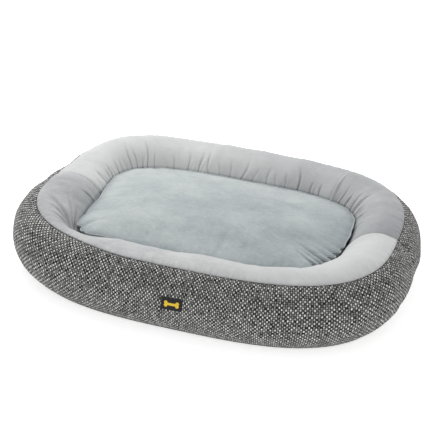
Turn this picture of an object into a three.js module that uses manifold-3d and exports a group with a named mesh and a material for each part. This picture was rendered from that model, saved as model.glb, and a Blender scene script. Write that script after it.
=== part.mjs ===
// Pet cushion bed: a stuffed oval bolster around a well, with a loose cushion lying in the well.
// Millimetres, +Z up. The origin is on the floor under the middle of the bed, +X runs along its length,
// and the front of the bed, where the label is, faces -Y.
import * as THREE from "three";
import { mergeVertices } from "three/addons/utils/BufferGeometryUtils.js";
import Module from "manifold-3d";

const wasm = await Module();
wasm.setup();

// ---------------------------------------------------------------- driving dimensions
const bedLength = 1100; // over the bulges at the two ends
const bedWidth = 860; // over the bulges at the front and the back
const bolsterWidth = 200; // the ring from its outer to its inner bulge
const bolsterHeight = 196; // floor to crest
const footWidth = 110; // the flat underside of the ring
const outlinePower = 3.1; // superellipse power of the ring's centre line, 2 is an ellipse
const sectionPower = 1.95; // superellipse power of the ring's section

const tweedThickness = 2.0;
const plushThickness = 2.4;
const seamAngle = 61; // where tweed meets plush on the outer shoulder, 0 is outwards and 90 the crest
const clearance = 0.3; // between pieces that touch

const basePanelThickness = 2.0;
const floorPanelThickness = 2.0;
const wellFloorHeight = 16; // top of the well's floor above the ground

const cushionEase = 2; // between the cushion's edge and the plush around it
const cushionSeamDepth = 52; // from the bolster's crest down to the cushion's welt
const cushionCrownDepth = 28; // from the bolster's crest down to the cushion's crown
const cushionCornerRadius = 16; // round lower edge
const coverThickness = 1.6;
const weltDiameter = 4.4;
const crownPower = 4; // how flat the top of the cushion is, 2 is a round dome
const crownShoulder = 0.6; // how softly the crown turns down at its edge, 0.5 is quarter-round

const labelWidth = 56;
const labelHeight = 30;
const labelThickness = 1.0;
const labelCentreHeight = 104;

const zipLength = 240;
const zipHeight = 46; // height of the zip's middle on the back wall
const zipTapeWidth = 9.6;
const zipTapeThickness = 1.0;
const zipChainWidth = 5.2;
const zipChainProud = 0.8; // how far the chain stands above its tapes
const zipSink = 1.0; // how far the tapes lie below the wall's surface at the zip's ends
const zipEndSpace = 4; // between the zip's end and the end of its slot
const zipStopLength = 3;
const zipOpeningWidth = 26; // slot in the tweed
const sliderLength = 12;
const sliderWidth = 9.4;
const sliderWall = 1.3;
const bridgeRise = 2.9; // clear height under the slider's bridge
const bridgeInner = 3.2; // half of the clear length under the bridge
const bridgeWidth = 1.6;
const bridgeWire = 1.2;
const runningGap = 0.4; // between the slider and the chain or its tapes
const pullLength = 27;
const pullWidth = 7;
const pullThickness = 1.2;
const pullPlay = 0.9; // between the pull's window and the bridge

const stationsPerQuarter = 12; // places along a quarter of the ring where its section is set

// ---------------------------------------------------------------- the ring's centre line and section
const ringHalfWidth = bolsterWidth / 2;
const lineHalfLength = bedLength / 2 - ringHalfWidth;
const lineHalfWidth = bedWidth / 2 - ringHalfWidth;
const radians = THREE.MathUtils.degToRad;

// A quarter of a superellipse, from the +X end to the +Y side.
class QuarterOutline extends THREE.Curve {
  getPoint(t) {
    const angle = (t * Math.PI) / 2;
    const x = lineHalfLength * Math.cos(angle) ** (2 / outlinePower);
    const y = lineHalfWidth * Math.sin(angle) ** (2 / outlinePower);
    return t === 1 ? new THREE.Vector3(0, lineHalfWidth, 0) : new THREE.Vector3(x, y, 0);
  }
}

function outwardNormal(x, y) {
  const nx = Math.sign(x) * Math.abs(x / lineHalfLength) ** (outlinePower - 1) / lineHalfLength;
  const ny = Math.sign(y) * Math.abs(y / lineHalfWidth) ** (outlinePower - 1) / lineHalfWidth;
  const length = Math.hypot(nx, ny);
  return { nx: nx / length, ny: ny / length };
}

// Stations around the whole centre line, counterclockwise from the +X end, evenly spaced in each quarter.
function makeStations() {
  const quarter = new QuarterOutline();
  quarter.arcLengthDivisions = 2000;
  const points = quarter.getSpacedPoints(stationsPerQuarter).map((p) => [p.x, p.y]);
  const first = points.slice(0, -1);
  const second = points.slice(1).reverse().map(([x, y]) => [-x, y]);
  const upper = [...first, ...second];
  const lower = upper.map(([x, y]) => [-x, -y]);
  return [...upper, ...lower].map(([x, y]) => ({ x, y, ...outwardNormal(x, y) }));
}
const stations = makeStations();
const halfTurn = stations.length / 2;

// The section is a superellipse cut off flat at the floor.
const footDrop = (1 - (footWidth / bolsterWidth) ** sectionPower) ** (1 / sectionPower);
const sectionHalfHeight = bolsterHeight / (1 + footDrop);
const sectionMiddle = bolsterHeight - sectionHalfHeight;

function signedPower(value, power) {
  return Math.sign(value) * Math.abs(value) ** power;
}

// A point of the section: its distance outwards from the centre line and its height, inset below the surface.
function sectionPoint(angle, inset) {
  return [
    (ringHalfWidth - inset) * signedPower(Math.cos(angle), 2 / sectionPower),
    sectionMiddle + (sectionHalfHeight - inset) * signedPower(Math.sin(angle), 2 / sectionPower),
  ];
}

// The angle, on the outer side, at which the section has a height.
function angleAtHeight(height) {
  const rise = (height - sectionMiddle) / sectionHalfHeight;
  return Math.asin(signedPower(rise, sectionPower / 2));
}

// How far the section reaches from the centre line at a height.
function reachAtHeight(height) {
  return sectionPoint(angleAtHeight(height), 0)[0];
}

function spread(from, to, count) {
  return Array.from({ length: count }, (_, i) => from + ((to - from) * i) / (count - 1));
}

// ---------------------------------------------------------------- closed bodies from rings of points
// Joins rings of equal length, each a closed loop of points, into one body. Ends are "joined" where the
// last ring runs on into the first, "flat" where a thin loop is closed across, and "poles" where the
// first and last rings have shrunk to a point.
function loft(rings, ends) {
  const count = rings[0].length;
  const positions = rings.flat(2);
  const triangles = [];
  const last = ends === "joined" ? rings.length : rings.length - 1;
  for (let r = 0; r < last; r++) {
    const next = (r + 1) % rings.length;
    for (let i = 0; i < count; i++) {
      const j = (i + 1) % count;
      triangles.push([r * count + i, r * count + j, next * count + j]);
      triangles.push([r * count + i, next * count + j, next * count + i]);
    }
  }
  if (ends === "flat") {
    for (const [start, turned] of [[0, false], [(rings.length - 1) * count, true]]) {
      for (let i = 0; i < count / 2 - 1; i++) {
        const [a, b, c, d] = [i, i + 1, count - 2 - i, count - 1 - i].map((k) => start + k);
        triangles.push(turned ? [a, b, c] : [a, c, b], turned ? [a, c, d] : [a, d, c]);
      }
    }
  }
  return closedGeometry(positions, triangles);
}

// Welds equal points, drops triangles that have shrunk to a line and turns the faces outwards.
function closedGeometry(positions, triangles) {
  const loose = new THREE.BufferGeometry();
  loose.setAttribute("position", new THREE.Float32BufferAttribute(positions, 3));
  loose.setIndex(triangles.flat());
  const welded = mergeVertices(loose, 1e-3);
  const place = welded.getAttribute("position").array;
  const index = welded.getIndex().array;
  const kept = [];
  let volume = 0;
  for (let k = 0; k < index.length; k += 3) {
    const [a, b, c] = index.slice(k, k + 3);
    if (a === b || b === c || c === a) continue;
    kept.push([a, b, c]);
    const [p, q, r] = [a, b, c].map((v) => new THREE.Vector3().fromArray(place, v * 3));
    volume += p.dot(q.cross(r));
  }
  welded.setIndex(kept.flatMap(([a, b, c]) => (volume < 0 ? [a, c, b] : [a, b, c])));
  welded.computeVertexNormals();
  return welded;
}

// ---------------------------------------------------------------- cutting and joining
function toSolid(geometry) {
  const bare = geometry.clone();
  bare.deleteAttribute("normal");
  bare.deleteAttribute("uv");
  const merged = mergeVertices(bare, 1e-4);
  return new wasm.Manifold(
    new wasm.Mesh({
      numProp: 3,
      vertProperties: new Float32Array(merged.getAttribute("position").array),
      triVerts: new Uint32Array(merged.getIndex().array),
    }),
  );
}

function toGeometry(solid) {
  const mesh = solid.getMesh();
  const geometry = new THREE.BufferGeometry();
  geometry.setAttribute("position", new THREE.BufferAttribute(mesh.vertProperties, 3));
  geometry.setIndex(new THREE.BufferAttribute(mesh.triVerts, 1));
  geometry.computeVertexNormals();
  return geometry;
}

function cut(geometry, tool) {
  return toGeometry(toSolid(geometry).subtract(toSolid(tool)));
}

function join(...geometries) {
  return toGeometry(geometries.map(toSolid).reduce((all, one) => all.add(one)));
}

// A box between two corners.
function boxBetween(low, high) {
  const size = high.map((value, axis) => value - low[axis]);
  const box = new THREE.BoxGeometry(...size);
  return box.translate(...low.map((value, axis) => value + size[axis] / 2));
}

// ---------------------------------------------------------------- materials
function material(color, roughness, metalness = 0) {
  return new THREE.MeshStandardMaterial({ color, roughness, metalness });
}
const tweed = material(0x6f7072, 0.95);
const plush = material(0xc4c6c7, 0.85);
const cushionPlush = material(0xb9bfc1, 0.85);
const fibre = material(0xf2f1ec, 1);
const baseCloth = material(0x2b2c2e, 0.9);
const lining = material(0x8f9294, 0.9);
const labelWeave = material(0x141414, 0.7);
const tapeWeave = material(0x2a2b2d, 0.85);
const zipNylon = material(0x1d1d1f, 0.45);
const zipMetal = material(0x3a3b3e, 0.35, 0.9);

const bed = new THREE.Group();

function addMesh(name, geometry, look, parent = bed) {
  const mesh = new THREE.Mesh(geometry, look);
  mesh.name = name;
  parent.add(mesh);
  return mesh;
}

// ---------------------------------------------------------------- the bolster's cover
// A strip of cloth of a thickness over some angles of the section, as a thin closed loop.
function stripLoop(angles, thickness) {
  const outside = angles.map((angle) => sectionPoint(angle, 0));
  const inside = angles.map((angle) => sectionPoint(angle, thickness)).reverse();
  return [...outside, ...inside];
}

function placeLoop(loop, station, shift = 0) {
  const { x, y, nx, ny } = station;
  return loop.map(([out, up]) => [x + nx * out, y + ny * out + shift, up]);
}

// Half of the ring's cover, back or front. The halves meet at the two ends of the bed.
function halfCover(loop, side) {
  const start = side > 0 ? 0 : halfTurn;
  const rings = [];
  for (let k = 0; k <= halfTurn; k++) {
    const atEnd = k === 0 || k === halfTurn;
    const station = stations[(start + k) % stations.length];
    rings.push(placeLoop(loop, station, atEnd ? (side * clearance) / 2 : 0));
  }
  return loft(rings, "flat");
}

const seamGap = clearance / 2 / ringHalfWidth;
const tweedFoot = angleAtHeight(basePanelThickness + clearance);
const tweedAngles = spread(tweedFoot, radians(seamAngle) - seamGap, 9);
const tweedLoop = stripLoop(tweedAngles, tweedThickness);
const plushFoot = Math.PI - angleAtHeight(wellFloorHeight + clearance);
const plushAngles = spread(radians(seamAngle) + seamGap, plushFoot, 11);
const plushLoop = stripLoop(plushAngles, plushThickness);

addMesh("rim_panel_front", halfCover(plushLoop, -1), plush);
addMesh("rim_panel_back", halfCover(plushLoop, 1), plush);
addMesh("tweed_wall_front", halfCover(tweedLoop, -1), tweed);

// ---------------------------------------------------------------- the zip's place on the back wall
const zipAngle = angleAtHeight(zipHeight);
const [zipReach] = sectionPoint(zipAngle, 0);
const zipTilt = Math.atan2(
  Math.abs((zipHeight - sectionMiddle) / sectionHalfHeight) ** (sectionPower - 1) / sectionHalfHeight,
  (zipReach / ringHalfWidth) ** (sectionPower - 1) / ringHalfWidth,
);
const zipEndDrop =
  lineHalfWidth * (1 - (1 - (zipLength / 2 / lineHalfLength) ** outlinePower) ** (1 / outlinePower));

// In this group +X runs along the zip, +Y out of the wall and +Z up the wall.
const zip = new THREE.Group();
zip.position.set(0, lineHalfWidth + zipReach, zipHeight);
zip.rotation.x = -zipTilt;
zip.updateMatrix();
bed.add(zip);

const tapeTop = -(zipEndDrop + zipSink);
const tapeBottom = tapeTop - zipTapeThickness;
const openingEnd = zipLength / 2 + zipEndSpace;

// The block that a slot for the zip takes out of what lies around it, down to a depth.
function slotBlock(bottom) {
  const half = zipOpeningWidth / 2;
  const beyond = zipEndDrop + tweedThickness;
  return boxBetween([-openingEnd, bottom, -half], [openingEnd, beyond, half]).applyMatrix4(zip.matrix);
}

const belowWall = tapeBottom - clearance;
addMesh("tweed_wall_back", cut(halfCover(tweedLoop, 1), slotBlock(belowWall)), tweed);

// ---------------------------------------------------------------- the bolster's filling
const fillInset = Math.max(tweedThickness, plushThickness) + clearance;
const fillBottom = basePanelThickness + clearance;

// The filling turns at the same angles as its covers, so its flat facets lie parallel to theirs.
function bolsterFilling() {
  const angles = [...tweedAngles.slice(0, -1), radians(seamAngle), ...plushAngles.slice(1)];
  const corner = footWidth / 2 - fillInset;
  const loop = [
    [corner, fillBottom],
    ...angles.map((angle) => sectionPoint(angle, fillInset)),
    [-corner, fillBottom],
  ];
  const ring = loft(stations.map((station) => placeLoop(loop, station)), "joined");
  return cut(ring, slotBlock(belowWall));
}
addMesh("bolster_fill", bolsterFilling(), fibre);

// ---------------------------------------------------------------- base, pad and floor of the well
// The outline at a distance outwards from the centre line, as a flat shape.
function outlineShape(out) {
  return new THREE.Shape(stations.map(({ x, y, nx, ny }) => new THREE.Vector2(x + nx * out, y + ny * out)));
}

function plate(out, bottom, top) {
  const geometry = new THREE.ExtrudeGeometry(outlineShape(out), {
    depth: top - bottom,
    bevelEnabled: false,
    curveSegments: 1,
  });
  return geometry.translate(0, 0, bottom);
}

const floorBottom = wellFloorHeight - floorPanelThickness;
const padTop = floorBottom - clearance;
addMesh("base_panel", plate(reachAtHeight(basePanelThickness), 0, basePanelThickness), baseCloth);
addMesh("base_pad", plate(-reachAtHeight(padTop) - clearance, fillBottom, padTop), fibre);
addMesh(
  "well_floor",
  plate(-reachAtHeight(wellFloorHeight) - clearance, floorBottom, wellFloorHeight),
  lining,
);

// ---------------------------------------------------------------- the label on the front wall
function labelPlate() {
  const angle = angleAtHeight(labelCentreHeight);
  const [reach] = sectionPoint(angle, 0);
  const wallTilt = Math.atan2(
    signedPower((labelCentreHeight - sectionMiddle) / sectionHalfHeight, sectionPower - 1) / sectionHalfHeight,
    (reach / ringHalfWidth) ** (sectionPower - 1) / ringHalfWidth,
  );
  const geometry = boxBetween(
    [-labelWidth / 2, -clearance - labelThickness, -labelHeight / 2],
    [labelWidth / 2, -clearance, labelHeight / 2],
  );
  return geometry.rotateX(-wallTilt).translate(0, -lineHalfWidth - reach, labelCentreHeight);
}
addMesh("label", labelPlate(), labelWeave);

// ---------------------------------------------------------------- the zip that closes the bolster
const chainEnd = zipLength / 2 - zipStopLength - clearance;
const chainTop = tapeTop + zipChainProud;
const tapeInner = zipChainWidth / 2 + clearance;

for (const [name, side] of [["zip_tape_upper", 1], ["zip_tape_lower", -1]]) {
  const edges = [side * tapeInner, side * (tapeInner + zipTapeWidth)].sort((a, b) => a - b);
  const tape = boxBetween([-zipLength / 2, tapeBottom, edges[0]], [zipLength / 2, tapeTop, edges[1]]);
  addMesh(name, tape, tapeWeave, zip);
}

function betweenTapes(from, to, top) {
  return boxBetween([from, tapeBottom, -zipChainWidth / 2], [to, top, zipChainWidth / 2]);
}
const stopTop = chainTop + clearance;
addMesh("zip_chain", betweenTapes(-chainEnd, chainEnd, chainTop), zipNylon, zip);
addMesh("zip_stop_closed", betweenTapes(-zipLength / 2, -chainEnd - clearance, stopTop), zipMetal, zip);
addMesh("zip_stop_open", betweenTapes(chainEnd + clearance, zipLength / 2, stopTop), zipMetal, zip);

// The slider rests at the closed end of the chain and opens towards +X.
const sliderRest = -chainEnd + sliderLength / 2;
const slider = new THREE.Group();
slider.position.set(sliderRest, 0, 0);
zip.add(slider);

const plateBottom = chainTop + runningGap;
const plateTop = plateBottom + sliderWall;

function sliderBody() {
  const half = sliderWidth / 2;
  const reach = sliderLength / 2;
  const top = boxBetween([-reach, plateBottom, -half], [reach, plateTop, half]);
  const lips = [-1, 1].map((side) => {
    const inner = side * (half - sliderWall);
    const edges = [inner, side * half].sort((a, b) => a - b);
    return boxBetween([-reach, tapeTop + runningGap, edges[0]], [reach, plateTop, edges[1]]);
  });
  return join(top, ...lips, bridge());
}

// An arch along the slider: two legs and a crown, cut from one flat outline.
function bridge() {
  const outer = bridgeInner + bridgeWire;
  const arch = new THREE.Shape();
  arch.moveTo(-outer, -sliderWall / 2);
  arch.lineTo(-bridgeInner, -sliderWall / 2);
  arch.lineTo(-bridgeInner, bridgeRise);
  arch.lineTo(bridgeInner, bridgeRise);
  arch.lineTo(bridgeInner, -sliderWall / 2);
  arch.lineTo(outer, -sliderWall / 2);
  arch.lineTo(outer, bridgeRise);
  arch.lineTo(bridgeInner, bridgeRise + bridgeWire);
  arch.lineTo(-bridgeInner, bridgeRise + bridgeWire);
  arch.lineTo(-outer, bridgeRise);
  const wire = new THREE.ExtrudeGeometry(arch, { depth: bridgeWidth, bevelEnabled: false });
  return wire.translate(0, plateTop, -bridgeWidth / 2);
}

addMesh("zip_slider", sliderBody(), zipMetal, slider);

// The pull's crossbar lies under the bridge, and its window lets the bridge's leg through.
const pullHinge = new THREE.Group();
pullHinge.position.set(0, plateTop + bridgeRise / 2, 0);
slider.add(pullHinge);

function pullTab() {
  const bar = pullThickness / 2;
  const half = pullWidth / 2;
  const round = half;
  const tab = new THREE.Shape();
  tab.moveTo(-bar, -half);
  tab.lineTo(pullLength - bar - round, -half);
  tab.absarc(pullLength - bar - round, 0, round, -Math.PI / 2, Math.PI / 2, false);
  tab.lineTo(-bar, half);
  const windowHalf = bridgeWidth / 2 + pullPlay;
  const windowEnd = bridgeInner + bridgeWire + bridgeRise / 2;
  tab.holes.push(
    new THREE.Path([
      new THREE.Vector2(bar, -windowHalf),
      new THREE.Vector2(bar, windowHalf),
      new THREE.Vector2(windowEnd, windowHalf),
      new THREE.Vector2(windowEnd, -windowHalf),
    ]),
  );
  const geometry = new THREE.ExtrudeGeometry(tab, {
    depth: pullThickness,
    bevelEnabled: false,
    curveSegments: 8,
  });
  return geometry.translate(0, 0, -bar).rotateX(-Math.PI / 2);
}
addMesh("zip_pull", pullTab(), zipMetal, pullHinge);

// ---------------------------------------------------------------- the loose cushion
// The outline at a distance inwards from the centre line and a height, scaled towards the middle.
function outlineRing(inwards, height, scale = 1) {
  return stations.map(({ x, y, nx, ny }) => [
    scale * (x - nx * inwards),
    scale * (y - ny * inwards),
    height,
  ]);
}

// The cushion's side follows the bolster: straight below its bulge and opening out above it.
function sideInwards(height) {
  return cushionEase + (height < sectionMiddle ? ringHalfWidth : reachAtHeight(height));
}

const cushionBottom = wellFloorHeight + clearance;
const weltRadius = weltDiameter / 2;
const cushionSeamHeight = bolsterHeight - cushionSeamDepth;
const cushionHeight = bolsterHeight - cushionCrownDepth;
const topEdge = cushionSeamHeight + weltRadius + clearance;
const bottomEdge = cushionSeamHeight - weltRadius - clearance;

// Rings over the crown, from its edge above the welt to its middle, inset by a depth at the edge and
// below the top.
function crownRings(edgeDepth, topDepth) {
  return [1, 0.985, 0.95, 0.87, 0.68, 0.4, 0].map((scale) => {
    const rise = (cushionHeight - topEdge) * (1 - scale ** crownPower) ** crownShoulder;
    const height = Math.max(topEdge, topEdge + rise - topDepth);
    return outlineRing(sideInwards(cushionSeamHeight) + edgeDepth, height, scale);
  });
}

// Rings from the middle of the underside out to the side and up to the lower edge of the welt.
function underRings(edgeDepth, floorDepth) {
  const side = sideInwards(0) + edgeDepth;
  const floor = cushionBottom + floorDepth;
  const corner = cushionCornerRadius - floorDepth;
  const rings = [0, 0.5].map((scale) => outlineRing(side + corner, floor, scale));
  for (const turn of spread(0, Math.PI / 2, 4)) {
    const back = corner * (1 - Math.sin(turn));
    rings.push(outlineRing(side + back, floor + corner * (1 - Math.cos(turn))));
  }
  for (const height of spread(sectionMiddle, bottomEdge, 3)) {
    rings.push(outlineRing(sideInwards(height) + edgeDepth, height));
  }
  return rings;
}

const cushion = new THREE.Group();
bed.add(cushion);

const topRings = [...crownRings(0, 0).reverse(), ...crownRings(coverThickness, coverThickness)];
addMesh("cushion_top_panel", loft(topRings, "poles"), cushionPlush, cushion);
const underside = [...underRings(0, 0), ...underRings(coverThickness, coverThickness).reverse()];
addMesh("cushion_bottom_panel", loft(underside, "poles"), cushionPlush, cushion);

// The welt is a covered cord sewn between the two panels.
function weltRing() {
  const middle = sideInwards(cushionSeamHeight) + weltRadius;
  const loop = spread(0, 2 * Math.PI, 7).slice(0, -1).map((angle) => [
    -middle + weltRadius * Math.cos(angle),
    cushionSeamHeight + weltRadius * Math.sin(angle),
  ]);
  return loft(stations.map((station) => placeLoop(loop, station)), "joined");
}
addMesh("cushion_welt", weltRing(), cushionPlush, cushion);

// The filling keeps clear of the covers, and at its edge of the welt's inner side.
function cushionFilling() {
  const behindWelt = Math.max(coverThickness, weltDiameter) + clearance;
  const behindCover = coverThickness + clearance;
  return loft([...underRings(behindWelt, behindCover), ...crownRings(behindWelt, behindCover)], "poles");
}
addMesh("cushion_fill", cushionFilling(), fibre, cushion);

export default bed;
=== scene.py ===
"""The looks of a stuffed oval pet bed: a plush rim over a tweed wall, and a loose cushion in the well.

Metres throughout, +Z up. The bed stands on the floor at z = 0, its label faces -Y and its length is on X.
"""

import bmesh
import bpy
import numpy as np
from mathutils import Matrix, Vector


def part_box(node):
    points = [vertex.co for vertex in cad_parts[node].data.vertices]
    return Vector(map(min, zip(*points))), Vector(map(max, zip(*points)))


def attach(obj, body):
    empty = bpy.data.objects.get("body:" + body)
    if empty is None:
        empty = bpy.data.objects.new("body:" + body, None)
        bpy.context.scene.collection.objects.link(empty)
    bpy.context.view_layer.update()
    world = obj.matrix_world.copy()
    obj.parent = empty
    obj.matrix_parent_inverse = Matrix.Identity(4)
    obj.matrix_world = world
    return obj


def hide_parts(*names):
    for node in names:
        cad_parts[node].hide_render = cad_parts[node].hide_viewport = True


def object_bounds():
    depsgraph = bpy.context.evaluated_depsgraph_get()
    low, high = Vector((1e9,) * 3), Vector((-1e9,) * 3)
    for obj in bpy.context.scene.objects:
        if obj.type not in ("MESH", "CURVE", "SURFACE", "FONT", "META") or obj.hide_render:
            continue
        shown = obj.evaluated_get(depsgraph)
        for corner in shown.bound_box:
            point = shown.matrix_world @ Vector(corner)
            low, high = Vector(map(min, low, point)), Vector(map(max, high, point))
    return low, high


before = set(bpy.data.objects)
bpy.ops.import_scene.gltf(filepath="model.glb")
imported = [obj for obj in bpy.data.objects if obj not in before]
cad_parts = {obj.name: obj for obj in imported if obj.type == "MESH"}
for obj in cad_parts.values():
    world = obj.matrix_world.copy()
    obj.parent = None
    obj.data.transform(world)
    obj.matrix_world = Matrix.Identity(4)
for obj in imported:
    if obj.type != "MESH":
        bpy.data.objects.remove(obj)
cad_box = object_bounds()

# ---------------------------------------------------------------- camera
# A long lens a little to the right of the bed's front and a third of the way up, tipped slightly
# anticlockwise, as one looks at a low piece of furniture from some way off.
aim = np.array([0.0, 0.0, 0.08])
camera_azimuth, camera_elevation = np.radians([14.76, 28.55])
camera_roll, camera_pan, camera_tilt = np.radians([4.0, 0.247, 0.820])
camera_distance = 4.214
camera_reach = 60.0
lens_length = 126.3

camera = bpy.data.objects.new("camera", bpy.data.cameras.new("camera"))
bpy.context.scene.collection.objects.link(camera)
bpy.context.scene.camera = camera
camera.data.lens = lens_length
camera.data.clip_end = camera_reach

back_way = np.array([
    np.sin(camera_azimuth) * np.cos(camera_elevation),
    -np.cos(camera_azimuth) * np.cos(camera_elevation),
    np.sin(camera_elevation),
])
level_right = np.array([np.cos(camera_azimuth), np.sin(camera_azimuth), 0.0])
level_up = np.cross(back_way, level_right)
forward = -back_way - level_right * np.tan(camera_pan) + level_up * np.tan(camera_tilt)
forward /= np.linalg.norm(forward)
right = np.cross(forward, [0.0, 0.0, 1.0])
right /= np.linalg.norm(right)
up = np.cross(right, forward)
rolled_right = right * np.cos(camera_roll) + up * np.sin(camera_roll)
rolled_up = up * np.cos(camera_roll) - right * np.sin(camera_roll)
placing = np.eye(4)
placing[:3, :4] = np.stack([rolled_right, rolled_up, -forward, aim + back_way * camera_distance], axis=1)
camera.matrix_world = Matrix(placing.tolist())

# ---------------------------------------------------------------- studio floor and light
# A pale seamless floor under an even white sky, with one large soft lamp above and behind the bed's left
# end, so the bed casts only a faint soft shadow. The sky is seen pure white but lights less strongly.
floor_half = 30.0
floor_roughness = 0.8
floor_white = (0.74, 0.74, 0.74, 1.0)
floor_glow = 0.66
sky_strength = 0.68
lamp_size = 2.0
lamp_power = 86.0
lamp_place = (-1.3, 1.5, 2.9)
lamp_turn = (-0.47, -0.37, 0.0)

floor_mesh = bpy.data.meshes.new("floor")
floor_corners = [(-floor_half, -floor_half, 0), (floor_half, -floor_half, 0),
                 (floor_half, floor_half, 0), (-floor_half, floor_half, 0)]
floor_mesh.from_pydata(floor_corners, [], [(0, 1, 2, 3)])
floor = bpy.data.objects.new("floor", floor_mesh)
bpy.context.scene.collection.objects.link(floor)
floor_paint = bpy.data.materials.new("studio_floor")
floor_paint.use_nodes = True
floor_shader = floor_paint.node_tree.nodes["Principled BSDF"]
floor_shader.inputs["Base Color"].default_value = floor_white
floor_shader.inputs["Roughness"].default_value = floor_roughness
floor_shader.inputs["Emission Color"].default_value = (1.0, 1.0, 1.0, 1.0)
floor_shader.inputs["Emission Strength"].default_value = floor_glow
floor_mesh.materials.append(floor_paint)

sky = bpy.data.worlds.new("sky")
sky.use_nodes = True
sky.node_tree.nodes["Background"].inputs["Color"].default_value = (1.0, 1.0, 1.0, 1.0)
sky_light = sky.node_tree.nodes["Background"]
seen_directly = sky.node_tree.nodes.new("ShaderNodeLightPath").outputs["Is Camera Ray"]
sky_level = sky.node_tree.nodes.new("ShaderNodeMapRange")
sky_level.inputs["To Min"].default_value = sky_strength
sky.node_tree.links.new(seen_directly, sky_level.inputs["Value"])
sky.node_tree.links.new(sky_level.outputs["Result"], sky_light.inputs["Strength"])
bpy.context.scene.world = sky
bpy.context.scene.view_settings.view_transform = "Standard"

lamp = bpy.data.objects.new("lamp", bpy.data.lights.new("lamp", "AREA"))
bpy.context.scene.collection.objects.link(lamp)
lamp.data.size = lamp_size
lamp.data.energy = lamp_power
lamp.location = lamp_place
lamp.rotation_euler = lamp_turn

# ---------------------------------------------------------------- tweed walls
# Two lengths of thick coarse tweed, black and grey yarn with flecks of off-white, that wrap the outside
# of the bolster from the floor to the shoulder. They are joined edge to edge at the two short ends.
bed_length = cad_box[1][0] - cad_box[0][0]
bed_width = cad_box[1][1] - cad_box[0][1]
bed_height = cad_box[1][2] - cad_box[0][2]
bolster_half = 0.100
foot_half = 0.055
outline_power = 3.1
section_power = 1.95
line_half_length = bed_length / 2 - bolster_half
line_half_width = bed_width / 2 - bolster_half
foot_drop = (1 - (foot_half / bolster_half) ** section_power) ** (1 / section_power)
section_half_height = bed_height / (1 + foot_drop)
section_middle = bed_height - section_half_height


def signed_power(value, power):
    """The size of a value raised to a power, with its sign kept."""
    return np.sign(value) * np.abs(value) ** power


def smooth(value):
    """Smooth step: 0 below 0, 1 above 1, and 3t^2 - 2t^3 between."""
    t = np.clip(value, 0, 1)
    return t * t * (3 - 2 * t)


turns = np.linspace(0, 2 * np.pi, 20001)
line_x = line_half_length * signed_power(np.cos(turns), 2 / outline_power)
line_y = line_half_width * signed_power(np.sin(turns), 2 / outline_power)
line_run = np.concatenate([[0.0], np.cumsum(np.hypot(np.diff(line_x), np.diff(line_y)))])
line_length = line_run[-1]


def ring_line(along):
    """Centre line of the ring: x and y are a superellipse, read at a distance along it from the +X end,
    anticlockwise, with the outward direction from the superellipse's gradient."""
    turn = np.interp(np.mod(along, line_length), line_run, turns)
    x = line_half_length * signed_power(np.cos(turn), 2 / outline_power)
    y = line_half_width * signed_power(np.sin(turn), 2 / outline_power)
    out_x = signed_power(x / line_half_length, outline_power - 1) / line_half_length
    out_y = signed_power(y / line_half_width, outline_power - 1) / line_half_width
    size = np.hypot(out_x, out_y)
    return x, y, out_x / size, out_y / size


def section(angle):
    """Section of the bolster: a superellipse of half-width and half-height, at an angle from outwards over
    the crest to inwards, with its outward normal from the gradient."""
    out = bolster_half * signed_power(np.cos(angle), 2 / section_power)
    rise = section_half_height * signed_power(np.sin(angle), 2 / section_power)
    normal_out = signed_power(out / bolster_half, section_power - 1) / bolster_half
    normal_up = signed_power(rise / section_half_height, section_power - 1) / section_half_height
    size = np.hypot(normal_out, normal_up)
    return out, section_middle + rise, normal_out / size, normal_up / size


def outer_angle(height):
    """Angle on the section's outer side at a height."""
    return np.arcsin(signed_power((height - section_middle) / section_half_height, section_power / 2))


def ring_gap(along, place):
    """Shortest signed distance along the ring from a place on it."""
    return np.mod(along - place + line_length / 2, line_length) - line_length / 2


# Where the filling has settled: place on the ring, how far that spreads, section angle in degrees, how far
# that spreads, and how much fuller (above 0) or flatter the bolster is there.
settled_filling = [
    (1.44, 0.17, 15, 50, 0.0110), (1.03, 0.10, 85, 45, 0.0080), (1.24, 0.07, 80, 60, -0.0060),
    (0.32, 0.14, 80, 45, 0.0045), (2.10, 0.24, 108, 30, -0.0070), (1.78, 0.15, 102, 38, -0.0175),
    (1.618, 0.085, 134, 48, -0.0440), (1.20, 0.16, 34, 42, -0.0145),
    (2.44, 0.10, 152, 48, 0.0110), (0.66, 0.20, 100, 40, 0.0015), (1.36, 0.12, 150, 45, 0.0110),
]


def fullness(along, angle):
    """How much fuller the bolster is than its plain section: a sum of bell-shaped swellings and dips."""
    total = 0.0
    for place, spread_long, middle, spread_round, amount in settled_filling:
        run_off = (ring_gap(along, place) / spread_long) ** 2
        turn_off = ((angle - np.radians(middle)) / np.radians(spread_round)) ** 2
        total = total + amount * np.exp(-run_off - turn_off)
    return total


def on_bolster(along, angle, lift):
    """Point of the bolster: the section carried along the ring line and pushed out along the section's
    normal by lift and by the filling's own fullness there."""
    x, y, out_x, out_y = ring_line(along)
    out, height, normal_out, normal_up = section(angle)
    lift = lift + fullness(along, angle) * smooth((height - 0.004) / 0.03)
    reach = out + lift * normal_out
    return np.stack([x + out_x * reach, y + out_y * reach, height + lift * normal_up], axis=-1)


girth_angles = np.linspace(-np.pi / 2, 3 * np.pi / 2, 8001)
girth_out, girth_height, _, _ = section(girth_angles)
girth_run = np.concatenate([[0.0], np.cumsum(np.hypot(np.diff(girth_out), np.diff(girth_height)))])


def girth(angle):
    """Distance round the section, from its lowest point outwards and up, at an angle."""
    return np.interp(angle, girth_angles, girth_run)


def angle_at_girth(distance):
    return np.interp(distance, girth_run, girth_angles)


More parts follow.
